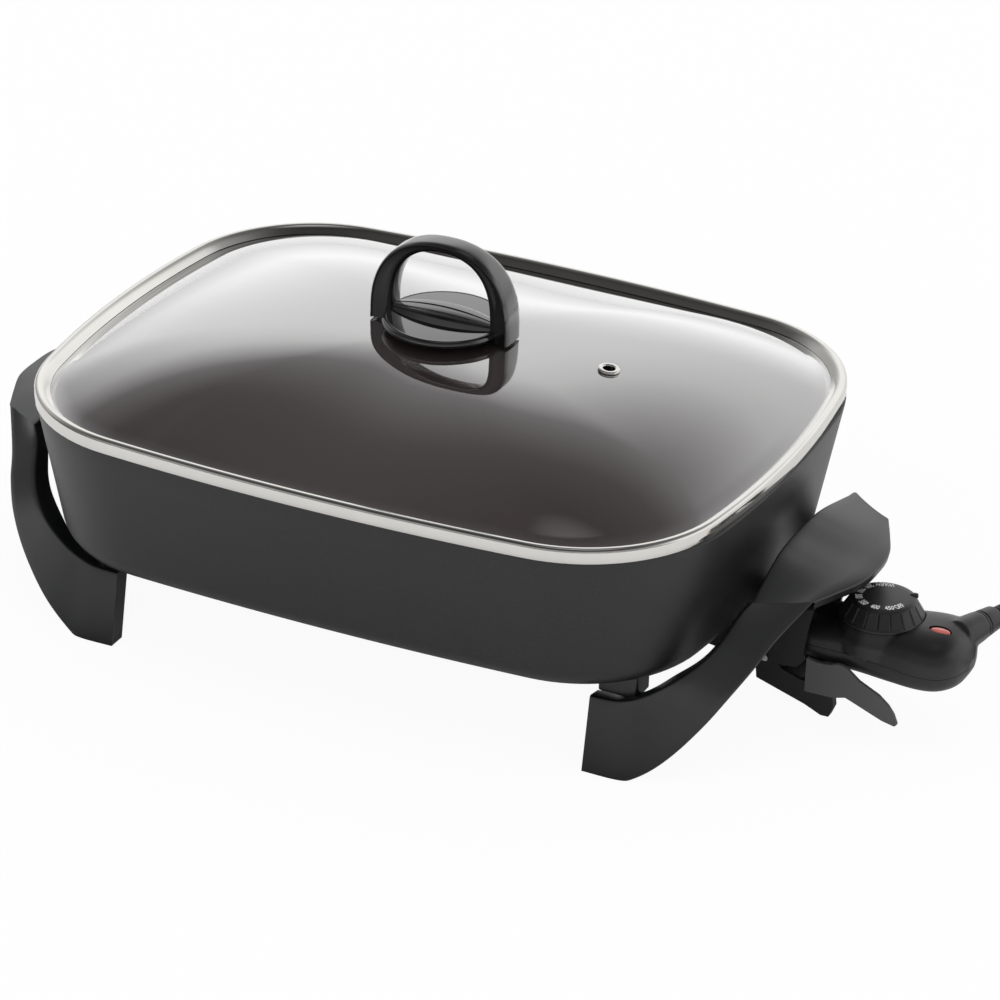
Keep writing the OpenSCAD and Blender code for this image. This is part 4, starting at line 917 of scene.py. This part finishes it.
def lead_path():
    """The lead's middle line, from its sleeve down to the floor, round the coil and to the plug."""
    aim = Vector((COIL_C.x - COIL_R, COIL_C.y, 0))
    points = []
    for i, (run, drop) in enumerate(CORD_DROP):
        f = i / (len(CORD_DROP) - 1)
        y = RELIEF_END.y + (aim.y - CORD_D - RELIEF_END.y) * run / DROP_RUN
        lean = RELIEF_DIR.x / RELIEF_DIR.y * run * (1 - f) * (1 - f)
        x = RELIEF_END.x + lean + (aim.x - RELIEF_END.x) * f * f * (3 - 2 * f)
        points.append(Vector((x, y, RELIEF_END.z - (RELIEF_END.z - COIL_Z) * drop / DROP_FALL)))
    free = [blend(points, i / 4) for i in range(4 * (len(points) - 1) + 1)]
    count = round(COIL_TURNS * 48)
    curve = [coil_point(i / 48) for i in range(count + 1)]
    last = curve[-1]
    fall = last.z - PLUG_HALF
    tail = []
    for i in range(13):
        sink = fall * (1 - math.cos(math.pi * i / 12)) / 2
        tail.append(last - Vector((0, CORD_D + (TAIL - 2 * CORD_D) * i / 12, sink)))
    return free + curve + tail + [last - Vector((0, TAIL, fall))]


def build_lead():
    path = lead_path()
    curve = bpy.data.curves.new("lead", "CURVE")
    curve.dimensions = "3D"
    curve.bevel_depth = CORD_D / 2 * MM
    curve.bevel_resolution = 5
    curve.use_fill_caps = True
    spline = curve.splines.new("POLY")
    spline.points.add(len(path) - 1)
    for point, p in zip(spline.points, path):
        point.co = placed(p) + (1,)
    spline.use_smooth = True
    return put("lead", curve), path, sum((b - a).length for a, b in zip(path, path[1:]))


def build_plug(end):
    """A moulded plug on the floor: a ribbed neck that swells into a flat-faced body."""
    stations = ((0, 3.8, 3.8, 3.79), (1.5, 4.4, 4.4, 4.3), (5, 4.6, 4.6, 4.5), (5.6, 4.1, 4.1, 4.0),
                (6.6, 4.1, 4.1, 4.0), (7.2, 4.9, 4.9, 4.8), (12, 5.3, 5.3, 5.2), (16, 7.6, 6.4, 4.8),
                (20, 10.2, 7.4, 4.0), (24, 12.0, 8.2, 3.4), (27, 12.4, 8.4, 3.0), (28, 11.9, 8.0, 2.8),
                (29.4, 11.9, 8.0, 2.8), (30.2, 12.4, 8.45, 2.6), (34.8, 12.45, 8.45, 2.4),
                (35.8, 11.9, 8.0, 2.2), (36, 11.4, 7.6, 2.0))
    rings = [[(end.x + x, end.y - s, end.z + z) for x, z in round_box(a, b, r, 6)]
             for s, a, b, r in stations]
    return Form().loft(rings).piece("plug_moulding", 40)


# CAD nodes that keep their shape, and the share of the edge rounding that some of them take
KEPT = ("heating_element", "terminal_insulators", "terminal_pins", "probe_well", "handle_screws",
        "probe_guard", "guard_screws", "lever_shoe", "lever_paddle", "lever_pin", "lever_spring",
        "knob_gasket", "knob_washer", "knob_screw", "dial_shaft", "thermostat_block", "probe_stem",
        "contact_sleeves", "shell_screws", "cord_tie", "plug_blades")
ROUNDED = {"probe_guard": 0.8, "lever_shoe": 1.0, "lever_paddle": 0.9, "probe_well": 1.2, "cord_tie": 0.6,
           "plug_blades": 0.4, "thermostat_block": 1.0}


# ---- operators ----


class SKILLET_OT_finishes(bpy.types.Operator):
    """Make the finishes that the pieces wear"""

    bl_idname = "skillet.finishes"
    bl_label = "Finishes"

    def execute(self, context):
        make_finishes(context.scene.skillet_colours)
        return {"FINISHED"}


class SKILLET_OT_lead(bpy.types.Operator):
    """Lay the lead, its sleeve and its plug"""

    bl_idname = "skillet.lead"
    bl_label = "Lead"

    def execute(self, context):
        black = FINISH["cord_black"]
        lead, path, length = build_lead()
        dress(lead, "control", black, "cord_black", "cord", "cord_coil")
        sleeve = dress(build_relief(), "control", black, "cord_black", "strain_relief")
        plug = dress(build_plug(path[-1]), "control", black, "cord_black", "plug_body")
        placed(path[0])
        round(length * MM, 3)
        return {"FINISHED"}


class SKILLET_OT_pan(bpy.types.Operator):
    """Build the pan"""

    bl_idname = "skillet.pan"
    bl_label = "Pan"

    def execute(self, context):
        dress(build_pan(context.scene.skillet_sizes), "base", FINISH["nonstick"], "nonstick", "pan")
        return {"FINISHED"}


class SKILLET_OT_grips(bpy.types.Operator):
    """Build the two handles, whose legs are the feet"""

    bl_idname = "skillet.grips"
    bl_label = "Handles"

    def execute(self, context):
        for name, side in (("left", -1), ("right", 1)):
            dress(build_grip(name + "_grip", side), "base", FINISH["phenolic"], "phenolic", name + "_handle")
        return {"FINISHED"}


class SKILLET_OT_lid(bpy.types.Operator):
    """Build the glass lid, its steel band, its vent and its knob"""

    bl_idname = "skillet.lid"
    bl_label = "Lid"

    def execute(self, context):
        dress(build_rim(), "lid", FINISH["rim_steel"], "rim_steel", "lid_rim")
        dress(build_glass(), "lid", FINISH["lid_glass"], "lid_glass", "lid_glass")
        dress(build_eyelet(), "lid", FINISH["rim_steel"], "rim_steel", "vent_grommet")
        dress(build_knob(), "lid", FINISH["knob_gloss"], "knob_gloss", "lid_knob")
        return {"FINISHED"}


class SKILLET_OT_control(bpy.types.Operator):
    """Build the temperature control's housing, its dial and its pilot lens"""

    bl_idname = "skillet.control"
    bl_label = "Temperature control"

    def execute(self, context):
        sizes = context.scene.skillet_sizes
        for name, side in (("top", 1), ("bottom", -1)):
            shell = build_housing(sizes, "housing_" + name, side)
            dress(shell, "control", FINISH["housing_black"], "housing_black", "control_" + name)
        dial, pointer = build_dial(sizes)
        dress(dial, "dial", FINISH["dial_black"], "dial_black", "temperature_dial")
        dress(pointer, "dial", FINISH["dial_black"], "dial_black")
        for label in build_figures(sizes):
            dress(label, "dial", FINISH["figures"], "dial_black")
        dress(build_lens(), "control", FINISH["lens_red"], "lens_red", "indicator_lens")
        return {"FINISHED"}


class SKILLET_OT_fittings(bpy.types.Operator):
    """Finish the fittings that keep the shape they have in the frame"""

    bl_idname = "skillet.fittings"
    bl_label = "Fittings"

    def execute(self, context):
        slots = {s["node"]: s["material_slot"] for s in frame["record"]["subparts"]}
        edge = context.scene.skillet_sizes.edge_round
        for name in KEPT:
            node = frame["nodes"][name]
            node.data.materials.clear()
            node.data.materials.append(FINISH[slots[name]])
            if name in ROUNDED:
                weld = node.modifiers.new("Weld", "WELD")
                weld.merge_threshold = 1e-6
                bevel = node.modifiers.new("Round", "BEVEL")
                bevel.width = edge * ROUNDED[name]
                bevel.segments = 2
                bevel.limit_method = "ANGLE"
                bevel.angle_limit = math.radians(40)
                bevel.harden_normals = True
        return {"FINISHED"}


# the camera, as fitted to the photograph's outlines, in millimetres from the rim's middle
FOCAL_SHARE = 4.860
VIEW_AZIMUTH, VIEW_ELEVATION, VIEW_ROLL = 24.883, 27.284, 1.721
VIEW_OFFSET = Vector((-29.915, 65.994, 2564.21))
RIM_MIDDLE_Z = 144.9


def place_camera():
    a, e, roll = (math.radians(v) for v in (VIEW_AZIMUTH, VIEW_ELEVATION, VIEW_ROLL))
    right = Vector((math.cos(a), math.sin(a), 0))
    back = Vector((math.sin(a) * math.cos(e), -math.cos(a) * math.cos(e), math.sin(e)))
    up = back.cross(right)
    tilt = Matrix(((math.cos(roll), math.sin(roll), 0), (-math.sin(roll), math.cos(roll), 0), (0, 0, 1)))
    look = tilt @ Matrix((right, up, -back))
    spot = -(look.transposed() @ VIEW_OFFSET)
    camera = put("camera", bpy.data.cameras.new("camera"))
    camera.data.sensor_width = 36
    camera.data.lens = 36 * FOCAL_SHARE
    camera.data.clip_end = 50
    basis = Matrix((look[0], look[1], -look[2])).transposed().to_4x4()
    place = Vector((spot.x * MM + SHIFT, spot.y * MM, (spot.z + RIM_MIDDLE_Z) * MM))
    camera.matrix_world = Matrix.Translation(place) @ basis
    bpy.context.scene.camera = camera


class SKILLET_OT_camera(bpy.types.Operator):
    """Set the camera at the photograph's angle"""

    bl_idname = "skillet.camera"
    bl_label = "Camera"

    def execute(self, context):
        place_camera()
        return {"FINISHED"}


def soft_box(name, place, aim, size, radiance):
    """A flat lamp that faces a point and that no mirror shows."""
    lamp = bpy.data.lights.new(name, "AREA")
    lamp.shape = "RECTANGLE"
    lamp.size, lamp.size_y = size
    lamp.energy = radiance * math.pi * size[0] * size[1]
    obj = put(name, lamp)
    direction = Vector(aim) - Vector(place)
    obj.matrix_world = Matrix.Translation(place) @ direction.to_track_quat("-Z", "Y").to_matrix().to_4x4()
    obj.visible_glossy = False


# what a mirror shows of the studio: how far up, as a share of a right angle, and how bright, set so that
# highlights and dark stretches fall about as in the photograph
STUDIO_GLOW = ((0.0, 0.69), (0.11, 0.90), (0.22, 0.95), (0.30, 1.0), (0.34, 0.95), (0.38, 0.76), (0.42, 0.56),
               (0.46, 0.34), (0.62, 0.14), (0.80, 0.07), (0.94, 0.55))
STUDIO_PEAK = 1.45       # the brightest of it
# it dims from behind the object to its front, along Y, and from the right to the left, along X:
# where the dimmed part ends, where the full part starts, and how bright the dimmed part is
FRONT_DIM, LEFT_DIM = (-0.25, 0.2, 0.36), (-0.88, -0.48, 0.42)
STUDIO_FILL = 1.0        # the plain light that matt surfaces take in


def light_world():
    """White to the camera; in a mirror, a lit wall behind the object, under a dim ceiling with a
    lamp in it."""
    world = bpy.data.worlds.new("studio")
    bpy.context.scene.world = world
    world.use_nodes = True
    p = Paint(world.node_tree)
    seen = p.add("ShaderNodeLightPath", output="Is Camera Ray")
    mirrored = p.add("ShaderNodeLightPath", output="Is Glossy Ray")
    way = p.add("ShaderNodeTexCoord", output="Generated")
    rise = p.add("ShaderNodeMath", {"operation": "ARCSINE"},
                 {0: p.add("ShaderNodeSeparateXYZ", None, {0: way}, 2)}) * (2 / math.pi)
    sky = p.add("ShaderNodeValToRGB", {"stops": STUDIO_GLOW}, {"Fac": rise})
    wall = 1
    for axis, (dim, full, low) in ((1, FRONT_DIM), (0, LEFT_DIM)):
        along = p.add("ShaderNodeSeparateXYZ", None, {0: way}, axis)
        wall = wall * p.add("ShaderNodeMapRange", {"interpolation_type": "SMOOTHSTEP"},
                            {0: along, 1: dim, 2: full, 3: low, 4: 1.0})
    level = seen + (1 - seen) * (mirrored * sky * wall * STUDIO_PEAK + (1 - mirrored) * STUDIO_FILL)
    p.add_output("ShaderNodeOutputWorld", p.add("ShaderNodeBackground", None, {"Strength": level}))


def build_floor():
    material, p = new_paint("paper")
    seen = p.add("ShaderNodeLightPath", output="Is Camera Ray")
    fibre = p.grain(0.004, 3.0)
    matt = p.add("ShaderNodeBsdfDiffuse", None, {
        "Color": p.mix(fibre, (0.92, 0.92, 0.92), (0.94, 0.94, 0.94)), "Roughness": 1.0})
    glow = p.add("ShaderNodeEmission", None, {"Color": (1, 1, 1, 1), "Strength": 1.0})
    p.finish(p.add("ShaderNodeMixShader", None, {0: seen * 0.94, 1: matt, 2: glow}))
    mesh = bpy.data.meshes.new("floor")
    reach = 6.0
    mesh.from_pydata([(-reach, -reach, 0), (reach, -reach, 0), (reach, reach, 0), (-reach, reach, 0)], [],
                     [(0, 1, 2, 3)])
    mesh.materials.append(material)
    put("floor", mesh)


class SKILLET_OT_stage(bpy.types.Operator):
    """Set up the floor, the lamps and the world"""

    bl_idname = "skillet.stage"
    bl_label = "Stage"

    def execute(self, context):
        build_floor()
        light_world()
        soft_box("top_box", (0.2, 0.1, 1.9), (0, 0, 0.1), (1.8, 1.4), 1.0)
        soft_box("front_box", (-1.2, -1.6, 0.9), (0, 0, 0.1), (0.9, 0.9), 0.8)
        context.scene.view_settings.view_transform = "Standard"
        return {"FINISHED"}


class SKILLET_PT_panel(bpy.types.Panel):
    """Lists the skillet's steps and values"""

    bl_label = "Electric skillet"
    bl_idname = "SKILLET_PT_panel"
    bl_space_type = "VIEW_3D"
    bl_region_type = "UI"
    bl_category = "Skillet"

    def draw(self, context):
        layout = self.layout
        for group in (context.scene.skillet_sizes, context.scene.skillet_colours):
            box = layout.box()
            for key in group.__annotations__:
                box.prop(group, key)
        for step in STEPS:
            layout.operator(step.bl_idname)


STEPS = (SKILLET_OT_camera, SKILLET_OT_finishes, SKILLET_OT_lead, SKILLET_OT_pan, SKILLET_OT_grips,
         SKILLET_OT_lid, SKILLET_OT_control, SKILLET_OT_fittings, SKILLET_OT_stage)
CLASSES = (SkilletSizes, SkilletColours) + STEPS + (SKILLET_PT_panel,)


def register():
    for item in CLASSES:
        bpy.utils.register_class(item)
    bpy.types.Scene.skillet_sizes = PointerProperty(type=SkilletSizes)
    bpy.types.Scene.skillet_colours = PointerProperty(type=SkilletColours)


def unregister():
    del bpy.types.Scene.skillet_colours
    del bpy.types.Scene.skillet_sizes
    for item in reversed(CLASSES):
        bpy.utils.unregister_class(item)


def main():
    register()
    for step in STEPS:
        group, name = step.bl_idname.split(".")
        getattr(getattr(bpy.ops, group), name)()


if __name__ == "__main__":
    main()
